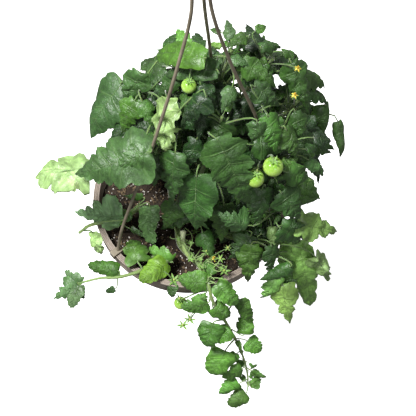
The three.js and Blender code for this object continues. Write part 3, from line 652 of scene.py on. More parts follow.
@dataclass(frozen=True)
class MouldedFinish:
    """Moulded polypropylene with a satin skin: flow marks, fine grain, dust and light scuffs."""

    name: str
    colour: str
    worn: str
    dust: str = "#b7a999"
    patch_mm: float = 26.0
    dust_mm: float = 3.0
    grain_mm: float = 0.8

    def build(self) -> Material:
        """Returns the material from object space."""
        s = Surface(self.name)
        patch, dust, grain = (
            s.add("noise", s.place, per_metre(size), detail, rough)
            for size, detail, rough in (
                (self.patch_mm, 5.0, 0.6),
                (self.dust_mm, 6.0, 0.7),
                (self.grain_mm, 2.0, NOISE_ROUGHNESS),
            )
        )
        worn = s.add("step", patch, 0.35, 0.7, 0.0, 0.6)
        dusty = s.add("step", dust, 0.56, 0.78, 0.0, 0.3)
        base = s.add("mix", worn, linear(self.colour), linear(self.worn))
        height = s.add("+", grain, s.add("*", patch, 0.6))
        return s.finish(
            {
                "Base Color": s.add("mix", dusty, base, linear(self.dust)),
                "Roughness": s.add("step", dust, 0.3, 0.7, 0.42, 0.6),
                "Normal": s.add("bump", Height=height, Distance=0.25 * MM, Strength=0.25),
                "IOR": 1.49,
                "Specular IOR Level": 0.5,
            }
        )


@dataclass(frozen=True)
class SoilFinish:
    """Damp potting mix: crumbs of peat and bark with a dull, uneven surface."""

    crumb_mm: float = 2.2

    def build(self) -> Material:
        """Returns the material from the mesh's tint and object space."""
        s = Surface("potting_mix_damp")
        tint = s.add("tint")
        crumb = s.add("noise", s.place, per_metre(self.crumb_mm), 6.0, 0.7)
        # Painted shade over the mix's own uneven tone: the colour follows the crumbs' bump, darker in the
        # hollows between them and lighter on top
        shade = s.add("step", crumb, 0.25, 0.75, 0.45, 1.6)
        return s.finish(
            {
                "Base Color": s.add("shade", 1.0, tint, s.add("grey", shade, shade, shade)),
                "Roughness": s.add("step", crumb, 0.3, 0.7, 0.7, 0.95),
                "Normal": s.add("bump", Height=crumb, Distance=1.6 * MM, Strength=0.8),
                "Specular IOR Level": 0.3,
            }
        )


# Leaves


# How far a blade hangs beyond its middle: every one, what small ones add, and the most that a
# blade's seed adds, which the golden section spreads evenly
DROOP_LEAST, DROOP_SMALL, DROOP_SEED = 0.02, 0.2, 0.22
GOLDEN_SHARE = 0.618
# Leaflets longer than these are large and of middle size, and shorter than the last are tiny
LARGE_BLADE = 85.0
MIDDLE_BLADE = 48.0
TINY_BLADE = 20.0
BLADE_THICKNESS = 0.5


@dataclass
class Blade:
    """One leaflet: where it lies, how it bends, and how it looks.

    base and tip are its midrib's ends, up is the way it faces, wide its width over its length.
    stalk is the path that leads to its base.
    """

    base: Array
    tip: Array
    up: Array
    wide: float
    arch: float
    fold: float
    stalk: Array
    tone: Tone = Tone.DEEP
    seed: int = 0
    crumple: float = 0.0
    stalk_radii: tuple[float, float] = (0.8, 0.55)
    shape: Shape = Shape.EGG

    @property
    def length(self) -> float:
        """Returns the midrib's length."""
        return float(np.linalg.norm(self.tip - self.base))

    @property
    def droop(self) -> float:
        """Returns how far the outer half hangs, for each square of the length beyond the middle."""
        least = DROOP_LEAST + DROOP_SMALL * (self.length < LARGE_BLADE)
        return least + DROOP_SEED * (self.seed * GOLDEN_SHARE % 1)


@dataclass(frozen=True)
class BladeForm:
    """How leaflets of one kind are drawn.

    outline is one half of it, as (place along the midrib, share of the half width).
    rows_per_vein and half_columns give the grid, teeth is how deep the margin is cut and point
    how sharply, and relief is how far the blade puffs up between its veins.
    """

    outline: tuple[tuple[float, float], ...]
    veins: int
    rows_per_vein: int
    half_columns: int
    teeth: float
    point: float = 0.95
    relief: float = 1.0

    @property
    def cells(self) -> float:
        """Returns how many puckers lie in a row from the midrib to the margin."""
        return self.half_columns / 4.5


# The egg shapes have the notches that a tomato leaflet has in its sides
LARGE_FORM = BladeForm(
    (
        (0.02, 0.5), (0.1, 0.86), (0.22, 1.0), (0.36, 0.96),
        (0.52, 0.78), (0.68, 0.52), (0.82, 0.27), (0.93, 0.11),
    ),
    veins=7, rows_per_vein=10, half_columns=11, teeth=0.28, relief=0.75,
)
MIDDLE_FORM = BladeForm(
    ((0.03, 0.6), (0.14, 0.94), (0.28, 1.0), (0.44, 0.8), (0.6, 0.54), (0.76, 0.28), (0.9, 0.11)),
    veins=5, rows_per_vein=8, half_columns=7, teeth=0.32,
)
SMALL_FORM = BladeForm(
    ((0.06, 0.8), (0.24, 1.0), (0.46, 0.82), (0.7, 0.44), (0.88, 0.16)),
    veins=4, rows_per_vein=5, half_columns=4, teeth=0.32,
)
TINY_FORM = BladeForm(
    ((0.1, 0.85), (0.35, 1.0), (0.7, 0.6)),
    veins=3, rows_per_vein=3, half_columns=3, teeth=0.2,
)
ROUND_HALF = ((0.03, 0.85), (0.16, 1.0), (0.46, 0.94), (0.76, 0.7), (0.92, 0.42))
SHAPED_FORMS = {
    Shape.ROUND: BladeForm(
        ROUND_HALF, veins=5, rows_per_vein=5, half_columns=6, teeth=0.2, point=0.6
    ),
    Shape.LOBED: BladeForm(
        ROUND_HALF, veins=3, rows_per_vein=8, half_columns=6, teeth=0.36, point=0.6
    ),
    Shape.POINTED: BladeForm(
        ((0.03, 0.7), (0.12, 1.0), (0.3, 0.86), (0.5, 0.6), (0.7, 0.36), (0.86, 0.16)),
        veins=4, rows_per_vein=9, half_columns=8, teeth=0.36, point=1.1,
    ),
    Shape.SMOOTH: BladeForm(
        ((0.02, 0.6), (0.1, 0.9), (0.24, 1.0), (0.44, 0.92), (0.62, 0.7), (0.78, 0.42), (0.9, 0.2)),
        veins=5, rows_per_vein=8, half_columns=8, teeth=0.1, relief=0.45,
    ),
}


def form_for(length: float, shape: Shape) -> BladeForm:
    """Chooses a leaflet's form: by its outline, or by its length if it is an egg.

    Args:
        length: The leaflet's length.
        shape: Its outline.

    Returns:
        The form.
    """
    if shape is not Shape.EGG:
        return SHAPED_FORMS[shape]
    if length > LARGE_BLADE:
        return LARGE_FORM
    if length > MIDDLE_BLADE:
        return MIDDLE_FORM
    return SMALL_FORM if length > TINY_BLADE else TINY_FORM


class BladeGrid:
    """A leaflet's surface under way, in shares of its length.

    Rows follow its side veins, and columns go round it, from margin to margin over the top and
    back below. t is where each row's vein starts on the midrib. Each column has its share of the
    way out, above, which is 1 on the upper side, -1 below and 0 at the margin, and its hand,
    which is 0 or 1.
    """

    def __init__(self, blade: Blade) -> None:
        """Numbers a leaflet's rows and columns."""
        self.blade = blade
        self.rng = np.random.default_rng(blade.seed)
        self.form = form_for(blade.length, blade.shape)
        self.t = np.linspace(0, 1, self.form.veins * self.form.rows_per_vein + 1)
        w = np.sin(np.linspace(0, np.pi / 2, self.form.half_columns + 1)) ** 1.15
        across = np.concatenate([-w[::-1], w[1:]])
        self.ring = np.concatenate([across, across[-2:0:-1]])
        self.above = np.concatenate([np.ones(len(across)), -np.ones(len(self.ring) - len(across))])
        self.above[[0, len(across) - 1]] = 0
        self.share = np.abs(self.ring)[None, :]
        self.hand = np.where(self.ring < 0, 0, 1)

    def by_hand(self, low: float, high: float) -> Array:
        """Draws a value for either side of the midrib, and gives each column its own."""
        return self.rng.uniform(low, high, 2)[self.hand][None, :]

    def spread(self) -> None:
        """Lays the grid out flat: places along and across the midrib, with teeth at the margin.

        A point at vein t and share w of the way out lies along the midrib by t + lean * r * w and
        out by r * w. r is the vein's reach, times (1 + 0.4 d)(1 - d c), where d is how deep the
        teeth are. They cut by c = 1 - |cos(pi n)|^point + 0.32 (1 - |cos(3 pi n)|), where n is
        the count of the veins up to there.
        """
        t, form = self.t, self.form
        lean = -0.35 + smooth(t, 0.0, 0.35) + smooth(t, 0.55, 1.0)
        count = form.veins * t[:, None] + self.rng.uniform(-0.25, 0.25, 2)[None, :]
        small_cut = 0.32 * (1 - np.abs(np.cos(3 * np.pi * count)))
        cut = 1 - np.abs(np.cos(np.pi * count)) ** form.point + small_cut
        ends = smooth(t, 0.0, 0.1) * (1 - 0.5 * smooth(t, 0.8, 1.0))
        depth = form.teeth * self.rng.uniform(0.75, 1.3, 2)[None, :] * ends[:, None]
        reach = self.vein_reach(lean)[:, None] * (1 + 0.4 * depth) * (1 - depth * cut)
        self.reach, self.count = reach[:, self.hand], count[:, self.hand]
        self.x = t[:, None] + lean[:, None] * self.reach * self.share
        sign = np.where(self.ring < 0, -1.0, 1.0)[None, :]
        self.y = sign * self.reach * self.share * math.cos(self.blade.fold)

    def vein_reach(self, lean: Array) -> Array:
        """How far the margin lies along each side vein, as a share of the leaflet's length.

        A vein starts at t on the midrib and gains lean in length for each step out, so its reach
        r solves r = wide/2 * outline(t + lean * r). Halving the range 24 times finds it.

        Args:
            lean: How much each vein leans towards the tip.

        Returns:
            One reach a vein.
        """
        t = self.t
        inner = [(-0.05 + 1.05 * x, y) for x, y in self.form.outline]
        x, y = np.array([(-0.05, 0.0), *inner, (1.0, 0.0)]).T
        fine = np.linspace(-0.1, 1.05, 231)
        level = np.interp(fine, x, y, left=0.0, right=0.0)
        level = np.convolve(level, np.hanning(11) / np.hanning(11).sum(), mode="same")
        low, high = np.zeros_like(t), np.full_like(t, 0.75)
        for _ in range(24):
            middle = (low + high) / 2
            inside = middle < 0.5 * self.blade.wide * np.interp(t + lean * middle, fine, level)
            low, high = np.where(inside, middle, low), np.where(inside, high, middle)
        return low

    def raised(self) -> Array:
        """Returns the heights of the flat grid's points.

        A height is the arch, 4u(1 - u) at a share u along the midrib, less the fold, r w^1.4,
        less the droop, (u - 1/2)^2 in the outer half. On that come puffs between the veins, as
        |sin(pi n)|^0.7 for the veins' count n, a wave and a curl of the margin, a groove along
        the midrib, and creases where the blade is crumpled: waves, or ridges where it is much so.
        """
        blade, form, rng, share = self.blade, self.form, self.rng, self.share
        x, y, reach, count = self.x, self.y, self.reach, self.count
        body = np.clip(x, 0, 1)
        height = blade.arch * 4 * body * (1 - body) - reach * share**1.4 * math.sin(blade.fold)
        height -= blade.droop * np.clip(body - 0.5, 0, 1) ** 2
        puff = (np.abs(np.sin(np.pi * count)) ** 0.7 - 0.6) * np.sqrt(share) * (1 - share**3)
        cells = 1 + 0.12 * np.cos(2 * np.pi * (form.cells * share + self.by_hand(0, 1)))
        rising = smooth(reach / blade.wide, 0.02, 0.2)
        height += form.relief * rng.uniform(0.28, 0.44) * (1 / form.veins) * puff * cells * rising
        wave = np.sin(2 * np.pi * (rng.uniform(1.2, 2.4) * x + self.by_hand(0, 1)))
        height += rng.uniform(0.08, 0.2) * reach * share**2 * wave
        height -= self.by_hand(-0.15, 0.4) * reach * share**4
        height -= 0.008 * np.exp(-((share * reach / 0.035) ** 2)) * (1 - share)
        if blade.crumple:
            for _ in range(5):
                k = rng.uniform(-13, 13, 2)
                fold = np.sin(k[0] * x + k[1] * y + rng.uniform(0, 6.28))
                height += blade.crumple * 0.02 * (fold if blade.crumple < 1 else 1 - 2 * np.abs(fold))
        return height

    def placed(self, height: Array) -> Array:
        """Twists the blade about its midrib, gives it its thickness and puts it in its place.

        The upper and lower sides lie half a thickness either way, which thins towards the margin
        as 1 - w^6 and towards the tip.

        Args:
            height: The points' heights.

        Returns:
            The points, row by row. Each end row is one point.
        """
        blade, length = self.blade, self.blade.length
        x, y = self.x, self.y
        twist = self.rng.uniform(-0.35, 0.35) * (np.clip(x, 0, 1) - 0.3)
        y, height = y * np.cos(twist) - height * np.sin(twist), y * np.sin(twist) + height * np.cos(twist)
        thin = 0.5 * BLADE_THICKNESS / length * self.above * (1 - self.share**6)
        height = height + thin * smooth(1 - self.t, 0, 0.05)[:, None] + 0.0006 * self.above
        d = unit(blade.tip - blade.base)
        up = turned(blade.up, d, self.rng.uniform(-0.4, 0.4) * (length < LARGE_BLADE))
        side = unit(np.cross(d, up))
        n = np.cross(side, d)
        points = blade.base + length * (x[..., None] * d + y[..., None] * side + height[..., None] * n)
        points[0], points[-1] = points[0].mean(0), points[-1].mean(0)
        return points

    def skin(self) -> Skin:
        """Returns the closed surface, whose tint varies from leaflet to leaflet."""
        self.spread()
        points = self.placed(self.raised())
        flat = np.zeros((len(self.t) - 2, len(self.ring)))
        upper, under = (tint_of(c) for c in self.blade.tone.value)
        below = (flat + (1 - self.above) / 2)[..., None]
        rim_light = (flat + 0.1 * self.share**4)[..., None]
        tint = mix(upper, under, below) * self.rng.uniform(0.7, 1.2) * (1 + rim_light)
        tint = tint * (1 + self.rng.uniform(-0.07, 0.07, 3))
        lines = np.stack([self.count[1:-1], flat + self.share, flat + self.above], axis=-1)
        return Skin(
            np.vstack([points[1:-1].reshape(-1, 3), points[[0, -1], 0]]),
            closed_faces(*flat.shape)[:, ::-1],
            np.vstack([tint.reshape(-1, 3), [upper, upper]]),
            np.vstack([lines.reshape(-1, 3), [[0, 0, 1], [self.form.veins, 0, 1]]]),
        )


STALK_TINT = tint_of("#5b7c38")
VINE_STALK_TINT = tint_of("#739450")
RIB_TINT = tint_of("#587a3c")
# How far the rib lies below its blade: a share of the blade's length, and millimetres
RIB_SINK = 0.009
RIB_DEPTH = 1.9


def stalk_skin(blade: Blade) -> Skin:
    """A leaflet's stalk, which runs on as the rib under its blade and thins to nothing.

    At a share u of the blade, the rib follows its arch, 4u(1 - u), less its droop.

    Args:
        blade: The leaflet.

    Returns:
        The closed tube.
    """
    along = blade.tip - blade.base
    d = unit(along)
    n = np.cross(unit(np.cross(d, blade.up)), d)
    u = np.linspace(0.03, 0.75, 5)[:, None]
    rise = blade.arch * 4 * u * (1 - u) - blade.droop * np.clip(u - 0.5, 0, 1) ** 2 - RIB_SINK
    rib = blade.base + along * u + n * (blade.length * rise - RIB_DEPTH)
    path = np.vstack([blade.stalk, rib])
    steps = len(blade.stalk)
    foot, top = blade.stalk_radii
    radii = np.concatenate([np.linspace(foot, top, steps), np.linspace(0.9 * top, 0.25, len(rib))])
    share = np.concatenate([np.zeros(steps), np.ones(len(rib))])[:, None]
    own = VINE_STALK_TINT if blade.tone is Tone.BRIGHT else STALK_TINT
    return tube(path, radii, 5, mix(own, RIB_TINT, share), slot=1)


# The middle of the bush, which its leaves face away from, and the way the light comes
CORE = np.array([35.0, 15.0, 110.0])
LIGHT = np.array([-0.1, -0.35, 0.9])
OUTWARD_SHARE = 0.45


def facing(point: Array) -> Array:
    """Returns the way a blade faces at a place: towards the light, and a little out."""
    return unit(OUTWARD_SHARE * unit(point - CORE) + LIGHT)


@dataclass
class Leaf:
    """A compound leaf as the solids have it: its end leaflet, and pairs behind it."""

    foot: Array
    base: Array
    tip: Array
    wide: float
    pairs: int
    roll: float
    draw: Callable[[], float]
    tone: Tone = Tone.DEEP
    crumple: float = 0.4
    seed: int = 0
    shape: Shape = Shape.EGG

    def blades(self) -> list[Blade]:
        """Returns the end leaflet, then those of each pair, by the solids' numbers."""
        reach = float(np.linalg.norm(self.base - self.foot))
        d = unit(self.tip - self.base)
        up = turned(facing(mix(self.base, self.tip, 0.5)), d, self.roll)
        rising = mix(self.foot, self.base, 0.35) + (0, 0, 0.2 * reach)
        corners = [self.foot, rising, self.base - 0.35 * reach * d, self.base]
        length = float(np.linalg.norm(self.tip - self.base))
        arch, fold = 0.06 + 0.08 * self.draw(), 0.1 + 0.4 * self.draw()
        stalk = bezier_points(corners, np.linspace(0, 1, 7))
        looks = {"tone": self.tone, "crumple": self.crumple, "shape": self.shape}
        end = Blade(self.base, self.tip, up, self.wide, arch, fold, stalk, seed=self.seed, **looks)
        end.stalk_radii = (1.3, 0.85) if length > 30 else (1.0, 0.65)
        made = [end]
        for pair in range(self.pairs):
            place = 0.8 - 0.28 * pair
            root, ahead = bezier_points(corners, np.array([place, place + 0.05]))
            ahead = unit(ahead - root)
            across = unit(np.cross(ahead, up))
            for hand in (-1, 1):
                size = min(length, 80) * (0.5 + 0.2 * self.draw())
                angle = 1.15 + 0.3 * (self.draw() - 0.5)
                heading = ahead * math.cos(angle) + across * hand * math.sin(angle)
                start = root + heading * size * 0.14
                heading = unit(heading - (0, 0, 0.25 + 0.4 * self.draw()))
                end = start + heading * size
                wide = 0.6 + 0.12 * self.draw()
                arch, fold = 0.06 + 0.08 * self.draw(), 0.1 + 0.4 * self.draw()
                seed = self.seed * 7 + pair * 2 + hand + 11
                path = mix(root, start, np.linspace(0, 1, 3)[:, None])
                made.append(Blade(start, end, up, wide, arch, fold, path, seed=seed, **looks))
        return made


@dataclass
class LeafyStem:
    """One leafy stem: its path from the root up, and how many leaves fill it by rule.

    slim says where along it the stem thins, and to what share of its thickness.
    """

    name: str
    path: Sequence[Sequence[float]]
    fill: int
    slim: tuple[float, float] = (1.0, 1.0)
    number: int = 0

    @property
    def node(self) -> str:
        """Returns the name of the solid that the stem is dressed over."""
        return "stem_" + self.name

    def at(self, t: Any) -> Array:
        """Returns points on the stem's middle line."""
        return curve_points(self.path, np.atleast_1d(t))


STEMS = [
    LeafyStem("left_high", [(-22, 10, -45), (-28, 5, 60), (-36, -15, 150), (-62, -30, 205)], 1),
    LeafyStem("left_back", [(-32, 38, -45), (-42, 52, 60), (-56, 58, 140), (-68, 52, 190)], 2),
    LeafyStem("centre_left", [(-10, 25, -45), (-12, 16, 80), (-14, 2, 160), (-26, -8, 222)], 1),
    LeafyStem("back_left", [(-8, 48, -45), (-12, 62, 100), (-6, 62, 200), (-2, 50, 262)], 2),
    LeafyStem("top", [(12, 36, -45), (20, 46, 100), (30, 50, 210), (42, 55, 284)], 1),
    LeafyStem("back_right", [(30, 46, -45), (48, 62, 90), (72, 72, 190), (92, 62, 258)], 2),
    LeafyStem("right_top", [(42, 26, -45), (70, 34, 80), (106, 36, 160), (128, 34, 216)], 2),
    LeafyStem("centre", [(6, 6, -45), (14, -4, 80), (24, -12, 170), (34, -14, 248)], 0),
    LeafyStem("right", [(26, 8, -45), (56, -4, 60), (84, -18, 140), (106, -26, 212)], 1),
    LeafyStem("right_low", [(30, -14, -45), (58, -28, 20), (90, -46, 70), (120, -56, 92)], 1),
    LeafyStem("front_right", [(14, -26, -45), (40, -54, 10), (78, -76, 36), (126, -88, 14)], 0),
    LeafyStem("back_low", [(6, 66, -45), (2, 92, 25), (-6, 122, 38), (-14, 150, -18)], 3),
    LeafyStem("right_back", [(52, 50, -45), (80, 72, 30), (112, 88, 55), (142, 98, 20)], 3),
    LeafyStem(
        "left_low",
        [(-50, 6, -45), (-68, -20, 0), (-92, -40, 12), (-126, -50, 11), (-142, -53, -8)],
        0,
    ),
    LeafyStem(
        "left_vine",
        [(-30, -58, -40), (-42, -90, 2), (-52, -108, 9), (-84, -120, 8), (-108, -121, 4), (-133, -126, -2)],
        0,
        (0.5, 0.55),
    ),
    LeafyStem(
        "front_vine",
        [
            (-8, -16, -42), (-12, -40, 2), (-8, -66, -4), (18, -98, 5), (29, -122, 11), (36, -142, 0),
            (46, -148, -28), (57, -152, -56), (67, -157, -84), (77, -164, -112), (86, -174, -138),
            (92, -187, -158), (94, -202, -170),
        ],
        0,
        (0.36, 0.5),
    ),
]

# Leaves listed one by one, as in the solids: the stem, where along it the leaf grows, the end
# leaflet's base and tip, its width over its length, the pairs behind it, and its tone
LISTED = [
    ("left_high", 1.0, (-46, -50, 225), (-140, -70, 160), 0.66, 1, "BLUE"),
    ("left_high", 0.7, (-125, -38, 146), (-192, -38, 128), 0.9, 0, "LIME"),
    ("left_high", 0.6, (-138, -52, 140), (-144, -64, 128), 0.7, 0, "LIME"),
    ("left_back", 0.7, (-90, 69, 175), (-130, 25, 108), 0.72, 0, "BLUE"),
    ("left_back", 1.0, (-58, 48, 226), (-95, 44, 150), 0.5, 0, "BLUE"),
    ("left_back", 0.8, (-70, 30, 200), (-86, 10, 150), 0.6, 0, "OLIVE"),
    ("left_back", 0.9, (-60, 15, 225), (-45, -10, 208), 0.8, 0, "MID"),
    ("centre_left", 0.9, (-35, 15, 236), (-35, -30, 165), 0.42, 0, "PALE"),
    ("centre_left", 0.8, (-18, -44, 210), (-20, -80, 140), 0.5, 0, "DEEP"),
    ("centre_left", 0.68, (-42, -36, 190), (-42, -58, 140), 0.55, 0, "DEEP"),
    ("centre_left", 1.0, (12, 0, 280), (-15, -26, 235), 0.75, 1, "SHADE"),
    ("centre_left", 0.58, (-15, -60, 110), (-30, -76, 62), 0.6, 0, "MID"),
    ("back_left", 1.0, (10, 28, 306), (-51, 74, 228), 0.46, 0, "OLIVE"),
    ("back_left", 0.9, (20, 14, 290), (-40, 26, 250), 0.5, 1, "BLUE"),
    ("back_left", 0.8, (-10, 66, 275), (-24, 92, 268), 0.7, 0, "BRIGHT"),
    ("back_left", 0.7, (-40, 103, 165), (-71, 135, 110), 0.6, 1, "BLUE"),
    ("top", 1.0, (40, 58, 300), (34, 88, 300), 0.55, 0, "SAGE"),
    ("top", 0.8, (52, 66, 296), (34, 42, 302), 0.55, 0, "MID"),
    ("top", 0.95, (28, 69, 298), (15, 74, 296), 0.7, 0, "MID"),
    ("top", 0.85, (30, 55, 290), (15, 63, 284), 0.6, 0, "FRESH"),
    ("top", 0.58, (46, 60, 290), (66, 92, 268), 0.6, 0, "BLUE"),
    ("top", 0.68, (40, 36, 296), (66, 28, 292), 0.6, 0, "BLUE"),
    ("top", 0.9, (56, 34, 298), (96, 18, 272), 0.6, 1, "MID"),
    ("back_right", 0.9, (66, 80, 280), (80, 92, 276), 0.8, 0, "MID"),
    ("back_right", 1.0, (76, 60, 286), (104, 78, 262), 0.62, 0, "DEEP"),
    ("back_right", 0.8, (102, 60, 276), (124, 64, 258), 0.6, 0, "MID"),
    ("back_right", 0.68, (125, 50, 246), (162, 61, 198), 0.6, 1, "MID"),
    ("back_right", 0.58, (100, 110, 190), (135, 140, 130), 0.6, 1, "DEEP"),
    ("right_top", 0.9, (106, 54, 266), (140, 16, 215), 0.5, 1, "DEEP"),
    ("right_top", 0.8, (132, 40, 230), (166, 50, 190), 0.6, 0, "DEEP"),
    ("right_top", 0.68, (160, 40, 195), (162, 14, 158), 0.85, 0, "MID"),
    ("right_top", 0.58, (180, 36, 160), (190, 14, 105), 0.3, 0, "BLUE"),
    ("right", 1.0, (74, 8, 284), (104, 2, 250), 0.62, 0, "DEEP"),
    ("centre", 0.68, (25, -36, 250), (70, -82, 150), 0.66, 1, "DEEP"),
    ("centre", 0.9, (60, -15, 276), (56, -46, 234), 0.75, 1, "BLUE"),
    ("centre", 0.58, (8, -58, 180), (10, -92, 95), 0.7, 0, "DEEP"),
    ("centre", 0.5, (46, -58, 110), (44, -88, 50), 0.7, 0, "MID"),
    ("centre", 0.74, (40, -14, 240), (16, -34, 196), 0.7, 0, "DEEP"),
    ("centre", 0.7, (6, -28, 216), (-4, -48, 176), 0.6, 0, "SHADE"),
    ("top", 0.9, (50, 28, 282), (30, 2, 266), 0.65, 0, "BLUE"),
    ("top", 0.8, (8, 16, 268), (28, -6, 248), 0.7, 0, "SHADE"),
    ("right", 1.0, (86, -16, 256), (101, -42, 212), 0.7, 1, "MID"),
    ("right", 0.9, (120, 4, 236), (131, -16, 198), 0.6, 0, "DEEP"),
    ("right", 0.8, (110, -20, 235), (126, -36, 192), 0.7, 1, "MID"),
    ("right", 0.68, (116, -50, 186), (146, -40, 150), 0.75, 1, "MID"),
    ("right", 0.58, (142, -26, 175), (167, -30, 138), 0.5, 0, "BLUE"),
    ("right", 0.54, (137, -31, 120), (166, -41, 95), 0.75, 1, "MID"),
    ("right_low", 1.0, (112, -60, 150), (140, -72, 100), 0.7, 1, "DEEP"),
    ("right_low", 0.8, (116, -80, 92), (152, -70, 40), 0.65, 1, "DEEP"),
    ("right_low", 0.7, (140, -68, 80), (192, -56, 38), 0.6, 1, "SPRING"),
    ("right_low", 0.9, (74, -84, 106), (30, -80, 130), 0.75, 0, "BLUE"),
    ("right_low", 0.8, (88, -56, 150), (84, -82, 98), 0.65, 1, "DEEP"),
    ("right", 0.6, (70, -50, 164), (90, -62, 120), 0.65, 0, "DEEP"),
    ("front_right", 0.4, (80, -78, 60), (54, -98, 22), 0.7, 0, "DEEP"),
    ("front_right", 0.6, (108, -86, 50), (106, -108, 5), 0.6, 0, "DEEP"),
    ("front_right", 1.0, (83, -87, 50), (82, -119, -12), 0.5, 0, "OLIVE"),
    ("front_right", 0.9, (129, -95, 22), (90, -114, -6), 0.4, 0, "DEEP"),
    ("front_right", 0.8, (146, -62, 10), (172, -106, -90), 0.48, 1, "SPRING"),
    ("front_right", 0.68, (170, -78, 0), (196, -90, -60), 0.6, 0, "PALE"),
    ("front_right", 0.58, (130, -102, -40), (146, -136, -100), 0.62, 1, "SPRING"),
    ("front_right", 0.5, (148, -86, -24), (156, -112, -82), 0.42, 0, "MID"),
    ("left_low", 0.6, (-86, -34, 30), (-152, -30, 12), 0.62, 1, "COOL"),
    ("left_low", 0.4, (-50, -26, 26), (-46, -72, 6), 0.65, 0, "SAGE"),
    ("left_low", 0.7, (-78, -48, 24), (-104, -30, 8), 0.6, 0, "BRIGHT"),
    ("left_low", 0.95, (-124, -56, 0), (-112, -78, -22), 0.6, 0, "LIME"),
    ("left_vine", 0.42, (-62, -100, 16), (-72, -70, 12), 1.0, 0, "BRIGHT"),
    ("left_vine", 0.25, (-18, -94, 6), (-42, -84, 12), 0.8, 0, "BRIGHT"),
    ("left_vine", 0.3, (-24, -98, 12), (-54, -124, 14), 0.7, 0, "YELLOWED"),
    ("left_vine", 1.0, (-138, -128, -2), (-165, -145, -10), 0.8, 1, "SAGE"),
    ("left_vine", 0.6, (-86, -114, 14), (-123, -108, 12), 0.5, 0, "MID"),
    ("left_vine", 0.62, (-90, -131, -6), (-101, -134, -10), 0.7, 0, "DEEP"),
    ("front_vine", 0.3, (27, -125, 15), (-6, -123, 13), 0.8, 0, "BRIGHT"),
    ("front_vine", 0.28, (33, -117, 20), (25, -102, 25), 0.9, 0, "BRIGHT"),
    ("front_vine", 0.38, (30, -145, -6), (0, -149, -18), 0.8, 0, "BRIGHT"),
    ("front_vine", 0.42, (39, -150, -12), (60, -154, -28), 0.85, 0, "BRIGHT"),
    ("front_vine", 0.33, (41, -126, 12), (67, -143, -8), 0.65, 0, "BRIGHT"),
    ("front_vine", 0.55, (73, -132, -22), (88, -146, -55), 0.5, 0, "BRIGHT"),
    ("front_vine", 0.56, (39, -158, -46), (32, -179, -72), 0.85, 0, "BRIGHT"),
    ("front_vine", 0.6, (63, -160, -60), (44, -174, -64), 0.9, 0, "BRIGHT"),
    ("front_vine", 0.7, (58, -175, -104), (42, -199, -126), 0.95, 0, "BRIGHT"),
    ("front_vine", 0.86, (83, -188, -136), (60, -200, -142), 0.85, 0, "BRIGHT"),
    ("front_vine", 0.95, (80, -203, -156), (57, -215, -166), 0.85, 0, "BRIGHT"),
    ("front_vine", 1.0, (91, -210, -176), (70, -224, -186), 0.8, 0, "BRIGHT"),
    ("front_vine", 0.63, (82, -159, -78), (83, -137, -58), 0.75, 0, "BRIGHT"),
    ("front_vine", 0.7, (88, -162, -96), (106, -171, -106), 0.95, 0, "BRIGHT"),
    ("front_vine", 0.78, (74, -174, -116), (64, -184, -122), 0.95, 0, "BRIGHT"),
    ("front_vine", 0.88, (98, -187, -146), (116, -192, -156), 0.5, 0, "BRIGHT"),
    ("front_vine", 0.98, (101, -203, -170), (107, -190, -162), 0.9, 0, "BRIGHT"),
]
# How often a leaf was tried before it was left out
LEAF_TRIES = 14
# The solids' filling leaves are seeded from here on, with ten numbers for each stem
FILL_SEED = 500


@dataclass(frozen=True)
class Redrawn:
    """How an end leaflet is drawn against its solid: longer, wider, or with its ends moved."""

    grow: float = 1.0
    widen: float = 1.0
    base: tuple[float, float, float] = (0.0, 0.0, 0.0)
    tip: tuple[float, float, float] = (0.0, 0.0, 0.0)


# End leaflets that the picture shows otherwise than their solids, by their rows above, and the
# filling leaves of the solids by their seeds
REDRAWN = {
    0: Redrawn(1.0, 1.0, tip=(0, 14, 0)),
    7: Redrawn(1.0, 1.05, (3, -16, 12), (3, -13, 14)),
    10: Redrawn(0.94, 0.85, (6, -4, 0)),
    12: Redrawn(1.0, 0.66),
    13: Redrawn(1.0, 0.75, (0, 6, 3), (0, 3, 3)),
    23: Redrawn(1.0, 0.85),
    24: Redrawn(1.0, 0.8),
    27: Redrawn(1.0, 0.8),
    33: Redrawn(1.14, 0.73, (6, -3, 6), (6, -3, 4)),
    35: Redrawn(1.0, 0.9),
    49: Redrawn(1.1, 1.0),
    57: Redrawn(1.08, 0.6),
    58: Redrawn(1.05, 0.75, (0, 0, 2), (2, 0, 0)),
    61: Redrawn(1.0, 1.32, (0, -9, -2), (0, -3, -2)),
    62: Redrawn(1.0, 1.05),
    65: Redrawn(1.1, 1.1),
    66: Redrawn(1.3, 1.1),
    68: Redrawn(1.15, 1.2),
    530: Redrawn(0.55, 0.8),
    540: Redrawn(0.7, 0.6, (0, -4, -2), (-6, -14, -8)),
    551: Redrawn(0.75, 0.8),
}
# The vines' leaves, where no row above says otherwise
TRAILING = Redrawn(1.12, 1.05)
# Leaves that aren't toothed eggs, by their rows
SHAPES = {
    **dict.fromkeys((3, 12, 13, 31, 35, 56, 63), Shape.SMOOTH),
    **dict.fromkeys((1, 2, 64, 65, 66), Shape.LOBED),
    **dict.fromkeys((49, 59, 68), Shape.POINTED),
    **dict.fromkeys((57, 62), Shape.ROUND),
}
# How far leaves of a tone are crumpled, where they aren't as most are
CRUMPLED = {"PALE": 1.6, "LIME": 0.9, "YELLOWED": 0.2, "OLIVE": 0.15}
MOST_CRUMPLED = 0.35

